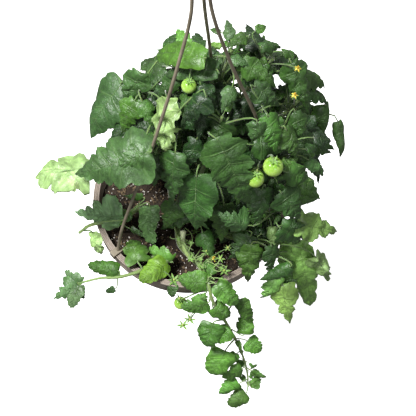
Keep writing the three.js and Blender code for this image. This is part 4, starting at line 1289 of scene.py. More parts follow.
# Leaves too slight for the solids, in the same form
SLIGHT = [
    ("left_low", 0.35, (-60, -13, 25), (-87, -10, 22), 0.6, 0, "MID"),
    ("left_low", 0.5, (-73, -37, 20), (-99, -41, 14), 0.6, 0, "MID"),
    ("left_low", 0.55, (-74, -51, 6), (-48, -61, 4), 0.5, 0, "DEEP"),
    ("centre_left", 0.35, (-1, -32, 30), (-36, -53, 12), 0.75, 0, "DEEP"),
    ("centre", 0.5, (-1, -34, 90), (27, -70, 50), 0.62, 0, "BLUE"),
    ("centre", 0.3, (20, -65, 36), (36, -95, 18), 0.85, 0, "DEEP"),
    ("left_vine", 0.98, (-134, -127, -2), (-158, -113, -2), 0.75, 0, "SAGE"),
    ("left_vine", 0.97, (-136, -130, -3), (-146, -158, -12), 0.7, 0, "SAGE"),
    ("left_vine", 0.97, (-134, -130, -3), (-130, -146, -10), 0.6, 0, "DEEP"),
    ("left_vine", 0.3, (-16, -122, 0), (-17, -137, -14), 0.9, 0, "DEEP"),
    ("right_low", 0.75, (107, -64, 60), (112, -88, 40), 0.62, 0, "PALE"),
    ("front_right", 0.9, (137, -75, -10), (139, -92, -20), 0.9, 0, "MID"),
    ("back_left", 0.85, (-22, 41, 242), (-44, 30, 208), 0.68, 0, "DEEP"),
]

# Fruits: the solid, the stem, where along it the stalk grows, the radius, and how far the fruit
# hangs off its solid
FRUITS = [
    ("tomato_1", "back_left", 0.9, 9.0, (3, 3, 6)),
    ("tomato_2", "right", 0.75, 12.0, (0, 0, 0)),
    ("tomato_3", "right", 0.7, 11.0, (0, 0, 0)),
    ("tomato_4", "right_low", 0.6, 10.0, (0, 0, 0)),
    ("tomato_5", "front_vine", 0.35, 8.5, (0, 0, 0)),
    ("tomato_6", "right_back", 0.7, 11.0, (0, 0, 0)),
    ("tomato_7", "back_low", 0.6, 10.0, (0, 0, 0)),
]
# Flowers: the solid, the stem, and where along it the stalk grows
FLOWERS = [
    ("flower_1", "front_vine", 0.25),
    ("flower_2", "right_top", 0.9),
    ("flower_3", "back_right", 0.9),
]


def node_points(frame: dict[str, Any], node: str) -> Array:
    """Returns the points of a solid of the frame, one a row, in millimetres above the rim."""
    mesh = frame["nodes"][node].data
    points = np.empty(len(mesh.vertices) * 3, np.float32)
    mesh.vertices.foreach_get("co", points)
    return points.reshape(-1, 3).astype(float) / MM + (0, 0, HANG_HEIGHT)


def has_point(points: Array, place: Array) -> bool:
    """Says whether a solid has a point at a place."""
    return bool(np.linalg.norm(points - place, axis=1).min() < VERTEX_MATCH)


@dataclass
class PhotoCamera:
    """The camera at the photograph's angle: 64 degrees above the horizon and 1.7 m away.

    A point's picture place is focal * (right, down) / depth, from the rim's middle at rim_px.
    """

    elevation: float = 64.0
    roll: float = 2.6
    distance: float = 1700.0
    focal_px: float = 1700 / 1.333
    rim_px: tuple[float, float] = (188.6, 198.8)
    sensor: float = 36.0
    sight: float = 20.0

    def axes(self) -> tuple[Array, Array, Array]:
        """Returns the camera's right, up and back directions."""
        e = math.radians(self.elevation)
        back = np.array([0.0, -math.cos(e), math.sin(e)])
        right, up = np.array([1.0, 0.0, 0.0]), np.array([0.0, math.sin(e), math.cos(e)])
        a = math.radians(self.roll)
        return right * math.cos(a) + up * math.sin(a), up * math.cos(a) - right * math.sin(a), back

    def project(self, points: Array) -> tuple[Array, Array, Array]:
        """Finds where points show.

        Args:
            points: The points.

        Returns:
            Their picture places x and y, and their depths.
        """
        right, up, back = self.axes()
        depth = self.distance - points @ back
        x = self.rim_px[0] + self.focal_px * (points @ right) / depth
        return x, self.rim_px[1] - self.focal_px * (points @ up) / depth, depth

    def build(self) -> None:
        """Makes the camera and gives it to the scene."""
        right, up, back = self.axes()
        data = bpy.data.cameras.new("photo_camera")
        camera = bpy.data.objects.new("photo_camera", data)
        bpy.context.scene.collection.objects.link(camera)
        place = Matrix(np.stack([right, up, back], axis=1).tolist()).to_4x4()
        place.translation = Vector((back * self.distance - (0, 0, HANG_HEIGHT)) * MM)
        camera.matrix_world = place
        data.sensor_width = self.sensor
        data.lens = self.focal_px / IMAGE_SIDE * self.sensor
        half = IMAGE_SIDE / 2
        data.shift_x = (half - self.rim_px[0]) / IMAGE_SIDE
        data.shift_y = (self.rim_px[1] - half) / IMAGE_SIDE
        data.clip_end = self.sight
        bpy.context.scene.camera = camera


# The bush's outline in the picture, and the window in it through which the soil shows
BUSH_OUTLINE_PX = [
    (86, 112), (92, 84), (124, 72), (150, 48), (178, 34), (222, 24), (246, 18), (276, 34),
    (306, 48), (330, 84), (342, 118), (338, 150), (330, 176), (326, 208), (336, 230), (330, 262),
    (326, 290), (306, 300), (262, 286), (240, 268), (214, 236), (196, 214), (172, 214), (160, 190),
    (150, 176), (128, 150), (98, 136),
]
# The filling leaves keep inside an egg with this middle and these half sizes
BUSH_MIDDLE = np.array([45.0, 40.0, 80.0])
BUSH_REACH = np.array([150.0, 165.0, 230.0])


def inside_outline(x: Array, y: Array, outline: Sequence[tuple[float, float]]) -> Array:
    """Says which places lie inside an outline: those with an odd number of edges to their right.

    Args:
        x: The places' first coordinates.
        y: Their second ones.
        outline: The outline's corners.

    Returns:
        True or false for each place.
    """
    a = np.array(outline, float)
    b = np.roll(a, -1, axis=0)
    x, y = x[:, None], y[:, None]
    spans = (a[:, 1] > y) != (b[:, 1] > y)
    rise = np.where(b[:, 1] == a[:, 1], 1e-9, b[:, 1] - a[:, 1])
    crossing = a[:, 0] + (y - a[:, 1]) / rise * (b[:, 0] - a[:, 0])
    return (spans & (x < crossing)).sum(axis=1) % 2 == 1


@dataclass
class Crowd:
    """Which places of the bush are taken, and what the picture shows in front.

    Places are cells of 5 mm, and the picture's cells are 3 pixels wide. A leaf covers another in
    the picture if it isn't at least 14 mm behind it.
    """

    camera: PhotoCamera
    cell: float = 5.0
    corner: Array = field(default_factory=lambda: np.array([-280.0, -300.0, -240.0]))
    shape: tuple[int, int, int] = (112, 120, 124)
    pixels: int = 3
    clearance: float = 14.0
    taken: Array = field(init=False)
    depth: Array = field(init=False)

    def __post_init__(self) -> None:
        """Starts with every place free."""
        self.taken = np.zeros(self.shape, bool)
        side = IMAGE_SIDE // self.pixels + 1
        self.depth = np.full((side, side), np.inf)

    def cells(self, points: Array) -> tuple[Array, ...]:
        """Returns the cells that points lie in."""
        found = ((points - self.corner) / self.cell).astype(int)
        return tuple(np.clip(found, 0, np.array(self.shape) - 1).T)

    def picture_cells(self, x: Array, y: Array) -> tuple[Array, ...]:
        """Returns the picture's cells at places in it."""
        return tuple(np.clip(np.stack([y, x]) / self.pixels, 0, len(self.depth) - 1).astype(int))

    def take(self, points: Array, shown: bool) -> None:
        """Marks places as taken.

        Args:
            points: The points there.
            shown: Whether the picture is kept clear in front of them.
        """
        self.taken[self.cells(points)] = True
        if shown:
            x, y, depth = self.camera.project(points)
            np.minimum.at(self.depth, self.picture_cells(x, y), depth)

    def fits(self, points: Array, touch: float = 0.25, cover: float = 0.15) -> bool:
        """Says whether a leaf has room, in the bush and in the picture.

        Args:
            points: The leaf's points.
            touch: The share of them that may lie in taken places.
            cover: The share that may cover others, or show outside the bush's outline.

        Returns:
            Whether it has.
        """
        if self.taken[self.cells(points)].mean() > touch:
            return False
        x, y, depth = self.camera.project(points)
        front = self.depth[self.picture_cells(x, y)]
        covers = (depth < front + self.clearance) & np.isfinite(front)
        if covers.mean() > cover:
            return False
        outside = (depth < front + 1) & ~inside_outline(x, y, BUSH_OUTLINE_PX)
        return outside.mean() < cover


# Where the streams of random draws start: the solids' own, then those of the finer growth
LISTED_STREAM = 1000
FILL_STREAM = 9000
STREAMS_PER_LEAF = 50
STREAMS_PER_STEM = 700
FILLING_SEED = 2000
SLIGHT_SEED = 3000
SPROUT_SEED = 6000
FILLING_LEAVES = 210
FILLING_TRIES = 4200
STEM_FOOT_RADIUS = 4.2
STEM_TOP_RADIUS = 1.5
HAIRS_PER_MM2 = 0.55
MOST_HAIRS = 600
HAIR_RADIUS = 0.1
HAIR_LENGTHS = (0.9, 1.9)


class Foliage:
    """The leafy stems: matches each leaf to its solid, then adds the finer growth."""

    def __init__(self, frame: dict[str, Any], camera: PhotoCamera) -> None:
        """Numbers the stems, and reads the loaded frame's points."""
        self.crowd = Crowd(camera)
        self.skins: dict[str, list[Skin]] = {stem.name: [] for stem in STEMS}
        self.points = {stem.name: node_points(frame, stem.node) for stem in STEMS}
        for number, stem in enumerate(STEMS):
            stem.number = number
        self.stems = {stem.name: stem for stem in STEMS}

    def listed_try(self, index: int, attempt: int) -> Leaf:
        """Makes a try at a listed leaf. A later one strays further.

        Args:
            index: The leaf's row.
            attempt: The try's number.

        Returns:
            The leaf.
        """
        stem, at, base, tip, wide, pairs, tone = LISTED[index]
        draw = random_stream(LISTED_STREAM + index * STREAMS_PER_LEAF + attempt)
        turn = (draw() - 0.5) * (0.3 + 0.08 * attempt)
        spread = 0 if attempt == 0 else 4 + 3 * attempt
        stray = np.array([(draw() - 0.5) * spread for _ in range(6)]).reshape(2, 3)
        foot = self.stems[stem].at(at)[0]
        leaf = Leaf(foot, base + stray[0], tip + stray[1], wide, pairs, turn, draw, Tone[tone], seed=index)
        leaf.crumple = CRUMPLED.get(tone, MOST_CRUMPLED)
        leaf.shape = SHAPES.get(index, Shape.ROUND if "vine" in stem else Shape.EGG)
        return leaf

    def fill_try(self, stem: LeafyStem, order: int, attempt: int) -> Leaf:
        """Makes a try at a leaf that fills out a stem, by the solids' rule.

        Args:
            stem: The stem.
            order: The leaf's number on it.
            attempt: The try's number.

        Returns:
            The leaf.
        """
        first = FILL_STREAM + stem.number * STREAMS_PER_STEM
        draw = random_stream(first + order * STREAMS_PER_LEAF + attempt)
        foot = stem.at(0.4 + 0.58 * draw())[0]
        azimuth = math.atan2(foot[1] - CORE[1], foot[0] - CORE[0]) + (draw() - 0.5) * 2.4
        reach = 30 + 40 * draw()
        climb = 0.1 + 0.6 * draw()
        base = foot + np.array([math.cos(azimuth), math.sin(azimuth), climb]) * reach
        bend = azimuth + (draw() - 0.5) * 0.8
        drop = 0.2 + 0.9 * draw()
        length = 50 + 38 * draw()
        tip = base + unit(np.array([math.cos(bend), math.sin(bend), -drop])) * length
        wide = 0.58 + 0.14 * draw()
        pairs = 2 if draw() < 0.4 else 1
        roll = (draw() - 0.5) * 0.6
        seed = FILL_SEED + stem.number * 10 + order
        return Leaf(foot, base, tip, wide, pairs, roll, draw, seed=seed, tone=(Tone.DEEP, Tone.MID)[seed % 2])

    def grow(self, stem: str, blades: Iterable[Blade], shown: bool) -> None:
        """Adds leaflets and their stalks to a stem, and marks their places.

        Args:
            stem: The stem's name.
            blades: The leaflets.
            shown: Whether the picture is kept clear in front of them.
        """
        for blade in blades:
            skin = BladeGrid(blade).skin()
            self.skins[stem] += [skin, stalk_skin(blade)]
            self.crowd.take(skin.points, shown)

    def match(self, stem: str, tries: Iterable[Leaf], index: int) -> bool:
        """Grows the first try whose tip the solid has, with the side leaflets that it has.

        The end leaflet is drawn as the picture shows it, where that isn't as its plain solid.

        Args:
            stem: The stem's name.
            tries: The leaf's tries, in order.
            index: Its row or seed.

        Returns:
            Whether the solid has one.
        """
        points = self.points[stem]
        change = REDRAWN.get(index, TRAILING if "vine" in stem else Redrawn())
        for leaf in tries:
            if has_point(points, leaf.tip):
                end, *sides = leaf.blades()
                kept = [b for b in sides if has_point(points, b.tip)]
                end.base = end.base + change.base
                end.tip = mix(end.base, end.tip + change.tip, change.grow)
                end.stalk[-1] = end.base
                end.wide *= change.widen
                self.grow(stem, [end, *kept], True)
                return True
        return False

    def grow_solid_leaves(self) -> None:
        """Grows every leaf that the solids have."""
        lost = 0
        for index, row in enumerate(LISTED):
            tries = (self.listed_try(index, k) for k in range(LEAF_TRIES))
            lost += not self.match(row[0], tries, index)
        for stem in STEMS:
            for order in range(stem.fill):
                tries = (self.fill_try(stem, order, k) for k in range(LEAF_TRIES))
                self.match(stem.name, tries, FILL_SEED + stem.number * 10 + order)
        LOG.info("leaves matched, %d listed ones not found", lost)

    def grow_slight_leaves(self) -> None:
        """Grows the leaves that the solids leave out."""
        for index, (stem, at, base, tip, wide, pairs, tone) in enumerate(SLIGHT):
            foot = self.stems[stem].at(at)[0]
            seed = SLIGHT_SEED + index
            base, tip = np.array(base, float), np.array(tip, float)
            leaf = Leaf(foot, base, tip, wide, pairs, 0.0, random_stream(seed), Tone[tone], 0.4, seed)
            leaf.shape = Shape.ROUND if "vine" in stem else Shape.EGG
            self.grow(stem, leaf.blades(), True)

    def grow_filling(self) -> None:
        """Adds smaller compound leaves in the gaps, behind what the picture shows.

        A leaf stays inside the bush's egg and off the soil that the picture shows, and only its
        leaflets that have room are grown.
        """
        rng = np.random.default_rng(41)
        grown = 0
        homes = [s for s in STEMS if "vine" not in s.name and s.name != "left_low"]
        for index in range(FILLING_TRIES):
            if grown == FILLING_LEAVES:
                break
            stem = homes[rng.integers(len(homes))]
            foot = stem.at(rng.uniform(0.3, 1.0))[0]
            azimuth = rng.uniform(-np.pi, np.pi)
            reach = rng.uniform(14, 55)
            base = foot + np.array([math.cos(azimuth), math.sin(azimuth), rng.uniform(-0.2, 0.9)]) * reach
            bend = azimuth + rng.uniform(-0.7, 0.7)
            heading = unit(np.array([math.cos(bend), math.sin(bend), -rng.uniform(0.1, 1.0)]))
            tip = base + heading * rng.uniform(26, 58)
            ends = (np.stack([base, tip]) - BUSH_MIDDLE) / BUSH_REACH
            over_soil = (tip[0] < 55) and (tip[1] < -20) and (tip[2] < 190)
            if np.linalg.norm(ends, axis=1).max() > 1.05 or over_soil or tip[2] < -60:
                continue
            tone = (Tone.SHADE, Tone.SHADE, Tone.DEEP, Tone.MID)[rng.integers(4)]
            wide, roll, seed = rng.uniform(0.55, 0.75), rng.uniform(-0.5, 0.5), FILLING_SEED + index
            pairs = int(rng.integers(0, 3))
            leaf = Leaf(foot, base, tip, wide, pairs, roll, random_stream(seed), tone=tone, seed=seed)
            kept = []
            for blade in leaf.blades():
                fits = self.crowd.fits(BladeGrid(blade).skin().points)
                if not fits and not kept:
                    break
                if fits:
                    kept.append(blade)
            if kept:
                self.grow(stem.name, kept, False)
                grown += 1
        LOG.info("%d filling leaves", grown)

    def grow_sprouts(self) -> None:
        """Adds tufts of young leaflets along the stems and at their tips."""
        rng = np.random.default_rng(7)
        for stem in STEMS:
            if stem.name in ("left_vine", "left_low"):
                continue
            trailing = stem.name == "front_vine"
            places = np.concatenate([[0.99], rng.uniform(0.35, 0.97, 4 if trailing else 9)])
            for order, at in enumerate(places):
                foot = stem.at(at)[0]
                if foot[2] < -12 and not trailing:
                    continue
                for leaflet in range(int(rng.integers(2, 5))):
                    azimuth = rng.uniform(-np.pi, np.pi)
                    rise = rng.uniform(-0.1, 1.0)
                    heading = unit(np.array([math.cos(azimuth), math.sin(azimuth), rise]))
                    base = foot + heading * rng.uniform(5, 12)
                    tip = base + unit(heading - (0, 0, 0.7)) * rng.uniform(8, 19)
                    seed = SPROUT_SEED + stem.number * 97 + order * 7 + leaflet
                    tone = Tone.BRIGHT if trailing or rng.random() < 0.4 else Tone.MID
                    stalk = mix(foot, base, np.linspace(0, 1, 3)[:, None])
                    blade = Blade(base, tip, facing(tip), rng.uniform(0.5, 0.8), 0.1, 0.3, stalk, tone, seed)
                    blade.stalk_radii = (0.6, 0.4)
                    points = BladeGrid(blade).skin().points
                    if self.crowd.fits(points, 0.5, 0.3 if trailing else 0.15) or trailing:
                        self.grow(stem.name, [blade], False)

    def grow_stems(self) -> None:
        """Adds each stem as a ribbed tube that thins as it rises and swells at six random knots along it."""
        rng = np.random.default_rng(3)
        old, young = tint_of("#5f7435"), tint_of("#7f9c54")
        for stem in STEMS:
            t = np.linspace(0, 1, 14 * len(stem.path))
            radii = STEM_FOOT_RADIUS + (STEM_TOP_RADIUS - STEM_FOOT_RADIUS) * t
            place, share = stem.slim
            radii *= mix(1.0, 1.4 * share, smooth(t, place - 0.08, place + 0.02))
            knots = rng.uniform(0.15, 0.95, 6)
            radii *= 1 + 0.18 * np.exp(-(((t[:, None] - knots) / 0.012) ** 2)).sum(axis=1)
            skin = tube(stem.at(t), radii, 12, mix(old, young, t[:, None]), slot=1, ribs=0.06)
            self.skins[stem.name].append(skin)

    def hairs(self, skins: Sequence[Skin], rng: np.random.Generator) -> Skin:
        """Fine hairs that stand off stalks and stems, thicker than real ones so that they show.

        Each is a four-faced spike along the surface's normal, with a little lean.

        Args:
            skins: The stalks and stems.
            rng: The draws.

        Returns:
            The hairs.
        """
        points = np.concatenate([s.points[s.faces] for s in skins])
        normal = np.cross(points[:, 1] - points[:, 0], points[:, 2] - points[:, 0])
        area = np.linalg.norm(normal, axis=1) / 2
        count = min(MOST_HAIRS, int(area.sum() * HAIRS_PER_MM2))
        picked = rng.choice(len(points), count, p=area / area.sum())
        share = rng.dirichlet((1, 1, 1), count)
        foot = np.einsum("nk,nkc->nc", share, points[picked])
        out = unit(unit(normal[picked]) + rng.normal(0, 0.3, (count, 3)))
        side = unit(np.cross(out, rng.normal(0, 1, (count, 3))))
        other = np.cross(out, side)
        angle = ring_angles(3)[None, :, None]
        ring = HAIR_RADIUS * (np.cos(angle) * side[:, None] + np.sin(angle) * other[:, None])
        tips = foot + out * rng.uniform(*HAIR_LENGTHS, (count, 1))
        made = np.concatenate([foot[:, None] + ring, tips[:, None]], axis=1).reshape(-1, 3)
        spike = np.array([[0, 1, 3], [1, 2, 3], [2, 0, 3], [0, 2, 1]])
        faces = (spike[None] + 4 * np.arange(count)[:, None, None]).reshape(-1, 3)
        return Skin.plain(made, faces, linear("#c5d69b"), 1)

    def dress(self, leaf: Material, stem_skin: Material, extra: dict[str, list[Skin]]) -> None:
        """Writes a piece for each stem in place of its solid.

        Args:
            leaf: The leaves' finish.
            stem_skin: The stems' and stalks' finish.
            extra: Further surfaces for a stem's piece, by its name.
        """
        rng = np.random.default_rng(19)
        for stem in STEMS:
            skins = self.skins[stem.name]
            woody = [s for s in skins if s.slot == 1]
            skins = skins + [self.hairs(woody, rng)] + extra.get(stem.name, [])
            piece = write_piece("leafy_" + stem.node, skins, [leaf, stem_skin])
            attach(piece, "root")
            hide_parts(stem.node)
            LOG.info("%s: %d triangles", piece.name, len(piece.data.polygons))


# Fruits and flowers


def node_corners(node: str) -> tuple[Array, Array]:
    """Returns a solid's lowest and highest corners, in millimetres above the rim."""
    low, high = (np.array(corner) / MM + (0, 0, HANG_HEIGHT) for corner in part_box(node))
    return low, high


STRAP_RING = np.array([-1, -0.5, 0, 0.5, 1, 0.5, 0, -0.5])
STRAP_ABOVE = np.array([0, 1, 1, 1, 0, -1, -1, -1])


def strap(base: Array, tip: Array, wide: float, curl: float, tint: Any, slot: int = 0) -> Skin:
    """A narrow pointed leaf, such as a sepal or a petal, that faces up and bends up.

    Its half width is wide/2 * sin(pi t^0.7) of its length at t, and its middle rises by curl*t^2.

    Args:
        base: Where it starts.
        tip: Where it ends.
        wide: Its width over its length.
        curl: How far its tip bends up, over its length.
        tint: Its colour.
        slot: Its finish's number.

    Returns:
        The closed surface.
    """
    along = tip - base
    length = float(np.linalg.norm(along))
    d = unit(along)
    side = unit(np.cross(d, UP))
    n = np.cross(side, d)
    t = np.linspace(0.02, 1, 9)[:, None]
    half = 0.5 * wide * np.sin(np.pi * np.clip(t, 0, 1) ** 0.7)
    lift = curl * t**2 + 0.25 * half * (np.abs(STRAP_RING) - 0.5) + 0.02 * STRAP_ABOVE * (1 - t**4)
    across = half * STRAP_RING
    points = base + length * (t[..., None] * d + across[..., None] * side + lift[..., None] * n)
    poles = np.stack([points[0].mean(0) - d * 0.02 * length, points[-1].mean(0)])
    points = np.vstack([points.reshape(-1, 3), poles])
    skin = Skin.plain(points, closed_faces(len(t), len(STRAP_RING))[:, ::-1], tint, slot)
    skin.lines[:-2, 1] = np.tile(np.abs(STRAP_RING), len(t))
    skin.lines[:-2, 2] = np.tile(STRAP_ABOVE, len(t))
    return skin


SEPAL_TINT = tint_of("#6f9a3f")
# Trusses of buds: the stem, where along it they grow, their ends, and a seed
TRUSSES = [
    ("front_vine", 0.25, [(53, -87, 40), (50, -107, 12), (26, -85, 22), (44, -96, 26)], 900),
    ("front_vine", 0.36, [(9, -160, -30), (-6, -137, -16), (-14, -118, 0), (0, -168, -30)], 940),
]
# The thick root of the front vine, from its cut end
STUB_PATH = [
    (-5.4, -56.6, 20), (-4.8, -66.7, 14), (-1.7, -78.6, 9), (6.7, -89.6, 6), (18.7, -98.5, 5),
    (25, -112, 8),
]


@dataclass
class Fruiting:
    """Tomatoes, flowers, and the stalks and calyxes that carry them.

    A fruit is flattened to flat of its radius from top to bottom. The solid of a flower reaches
    flower_reach out from its middle and flower_top above it.
    """

    foliage: Foliage
    fruit: Material
    petal: Material
    extra: dict[str, list[Skin]] = field(default_factory=dict)
    flat: float = 0.94
    fruit_rows: int = 24
    fruit_sides: int = 40
    flower_reach: float = 9.0
    flower_top: float = 0.8
    petals: int = 5
    petal_length: float = 4.8
    cone_length: float = 5.0
    bud_length: float = 4.5
    tangle_stalks: int = 38
    tangle_seed: int = 1200

    def carry(self, stem: str, skins: Iterable[Skin]) -> None:
        """Adds surfaces to a stem's piece."""
        self.extra.setdefault(stem, []).extend(skins)

    def stalk(self, stem: str, at: float, top: Array, lift: float, radius: float = 1.0) -> Skin:
        """A fruit's stalk: a bent tube of radius r (1 - t/4), half as much again at its knuckle.

        Args:
            stem: The stem's name.
            at: Where along it the stalk grows.
            top: Where the stalk ends.
            lift: How far its bend lies above its end.
            radius: Its radius at the stem.

        Returns:
            The tube.
        """
        foot = self.foliage.stems[stem].at(at)[0]
        control = mix(foot, top, 0.6)
        control[2] = top[2] + lift
        t = np.linspace(0, 1, 22)
        radii = radius * (1 - 0.25 * t) * (1 + 0.5 * np.exp(-(((t - 0.7) / 0.04) ** 2)))
        return tube(bezier_points([foot, control, top], t), radii, 7, STALK_TINT, slot=1)

    def calyx(self, centre: Array, reach: float, curl: float, seed: int) -> list[Skin]:
        """Six narrow sepals that spread from a centre.

        Args:
            centre: Where they meet.
            reach: About how long they are.
            curl: About how far they bend up.
            seed: The seed of the draws.

        Returns:
            The sepals.
        """
        rng = np.random.default_rng(seed)
        made = []
        for k in range(6):
            angle = 2 * np.pi * k / 6 + rng.uniform(-0.15, 0.15)
            out = np.array([math.cos(angle), math.sin(angle), 0.12])
            tip = centre + out * reach * rng.uniform(0.85, 1.15)
            made.append(strap(centre, tip, 0.3, curl * rng.uniform(0.6, 1.3), SEPAL_TINT, slot=1))
        return made

    def add_fruit(self, node: str, stem: str, at: float, radius: float, off: Array) -> None:
        """Grows one tomato over its solid.

        At polar angle p, its radius is R (1 - a tenth within the dimple at the top), with five
        faint lobes round the shoulder.

        Args:
            node: The solid's name.
            stem: The stem that carries it.
            at: Where along the stem its stalk grows.
            radius: Its radius.
            off: How far it hangs off its solid.
        """
        low, high = node_corners(node)
        top = np.array([high[0] - radius, (low[1] + high[1]) / 2, high[2]]) + off
        p = np.linspace(0, np.pi, self.fruit_rows + 2)[1:-1, None]
        angle = ring_angles(self.fruit_sides)
        dimple = 1 - 0.1 * np.exp(-((p / 0.28) ** 2))
        lobes = 1 + 0.012 * np.cos(5 * angle) * np.exp(-(((p - 0.7) / 0.5) ** 2))
        r = radius * lobes * dimple
        ring = np.stack(
            [r * np.sin(p) * np.cos(angle), r * np.sin(p) * np.sin(angle), self.flat * r * np.cos(p)],
            axis=-1,
        )
        height = self.flat * radius
        points = np.vstack([ring.reshape(-1, 3), [[0, 0, height * 0.9], [0, 0, -height]]])
        points = points + (top - (0, 0, height))
        faces = closed_faces(self.fruit_rows, self.fruit_sides)[:, ::-1]
        shoulder, belly = tint_of("#78a636"), tint_of("#aace60")
        tint = mix(shoulder, belly, smooth(np.repeat(p, self.fruit_sides), 0.4, 1.6)[:, None])
        tint = np.vstack([tint, [shoulder, belly]])
        piece = write_piece(node + "_ripening", [Skin.plain(points, faces, tint)], [self.fruit])
        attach(piece, "root")
        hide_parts(node)
        LOG.info("%s: %d triangles", piece.name, len(piece.data.polygons))
        centre = top + (0, 0, 1.1)
        sepals = self.calyx(centre, radius * 0.62, 0.2, int(at * 100))
        self.carry(stem, [self.stalk(stem, at, centre, 8), *sepals])

    def add_flower(self, node: str, stem: str, at: float, index: int) -> None:
        """Grows one flower over its solid: bent petals round a cone of anthers.

        Args:
            node: The solid's name.
            stem: The stem that carries it.
            at: Where along the stem its stalk grows.
            index: The flower's number.
        """
        low, high = node_corners(node)
        centre = np.array(
            [high[0] - self.flower_reach, (low[1] + high[1]) / 2, high[2] - self.flower_top]
        )
        yellow, cone = tint_of("#ecd94e"), tint_of("#e2b838")
        skins = []
        for angle in ring_angles(self.petals):
            out = np.array([math.cos(angle), math.sin(angle), 0.05])
            skins.append(strap(centre, centre + out * self.petal_length, 0.5, -0.6, yellow))
        t = np.linspace(0, 1, 7)
        line = centre + UP * (t[:, None] * self.cone_length)
        skins.append(tube(line, 1.5 - 1.1 * t**1.5, 10, cone))
        piece = write_piece(node + "_open", skins, [self.petal])
        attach(piece, "root")
        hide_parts(node)
        LOG.info("%s: %d triangles", piece.name, len(piece.data.polygons))
        below = centre - (0, 0, 1.8)
        sepals = self.calyx(below, 5.5, -0.2, 77 + index)
        self.carry(stem, [self.stalk(stem, at, below, -8, 0.9), *sepals])

    def add_truss(self, stem: str, at: float, ends: Sequence[Sequence[float]], seed: int) -> None:
        """Grows a truss of buds with their calyxes, on thin stalks.

        Args:
            stem: The stem's name.
            at: Where along it the truss grows.
            ends: Where its stalks end.
            seed: The seed of the draws.
        """
        rng = np.random.default_rng(seed)
        for k, end in enumerate(np.array(ends, float)):
            skins = [self.stalk(stem, at, end, rng.uniform(-4, 8), 0.7)]
            skins += self.calyx(end, rng.uniform(6.0, 10.0), rng.uniform(-0.1, 0.5), seed + k)
            t = np.linspace(0, 1, 7)
            bud = end + UP * (t[:, None] * self.bud_length)
            skins.append(tube(bud, 0.3 + 1.2 * np.sin(np.pi * t), 8, linear("#b8c860"), slot=1))
            self.carry(stem, skins)

    def add_tangle(self) -> None:
        """Grows a tangle of thin pale stalks over the front vine's root, every third with a calyx."""
        stem, seed = "front_vine", self.tangle_seed
        rng = np.random.default_rng(seed)
        for k in range(self.tangle_stalks):
            at = rng.uniform(0.12, 0.36)
            foot = self.foliage.stems[stem].at(at)[0]
            end = foot + rng.uniform((-16, -14, 6), (26, 26, 30))
            bend = mix(foot, end, 0.5) + rng.normal(0, 9, 3) + (0, 0, 8)
            path = bezier_points([foot, bend, end + rng.normal(0, 5, 3), end], np.linspace(0, 1, 16))
            skins = [tube(path, np.linspace(0.75, 0.4, 16), 6, linear("#86a55c"), slot=1)]
            if k % 3 == 0:
                skins += self.calyx(end, rng.uniform(3.5, 6.5), rng.uniform(0.1, 0.6), seed + k)
            self.carry(stem, skins)

    def add_stub(self) -> None:
        """Grows the front vine's thick root: pale where its shoot was cut, then green."""
        t = np.linspace(0, 1, 40)
        radii = 3.1 - 1.3 * t + 0.9 * np.exp(-((t / 0.07) ** 2))
        tint = mix(tint_of("#e4edc0"), tint_of("#8ba55e"), smooth(t, 0.04, 0.3)[:, None])
        root = tube(curve_points(STUB_PATH, t), radii, 16, tint, slot=1, ribs=0.06)
        self.carry("front_vine", [root])


# Pot, soil and hanger


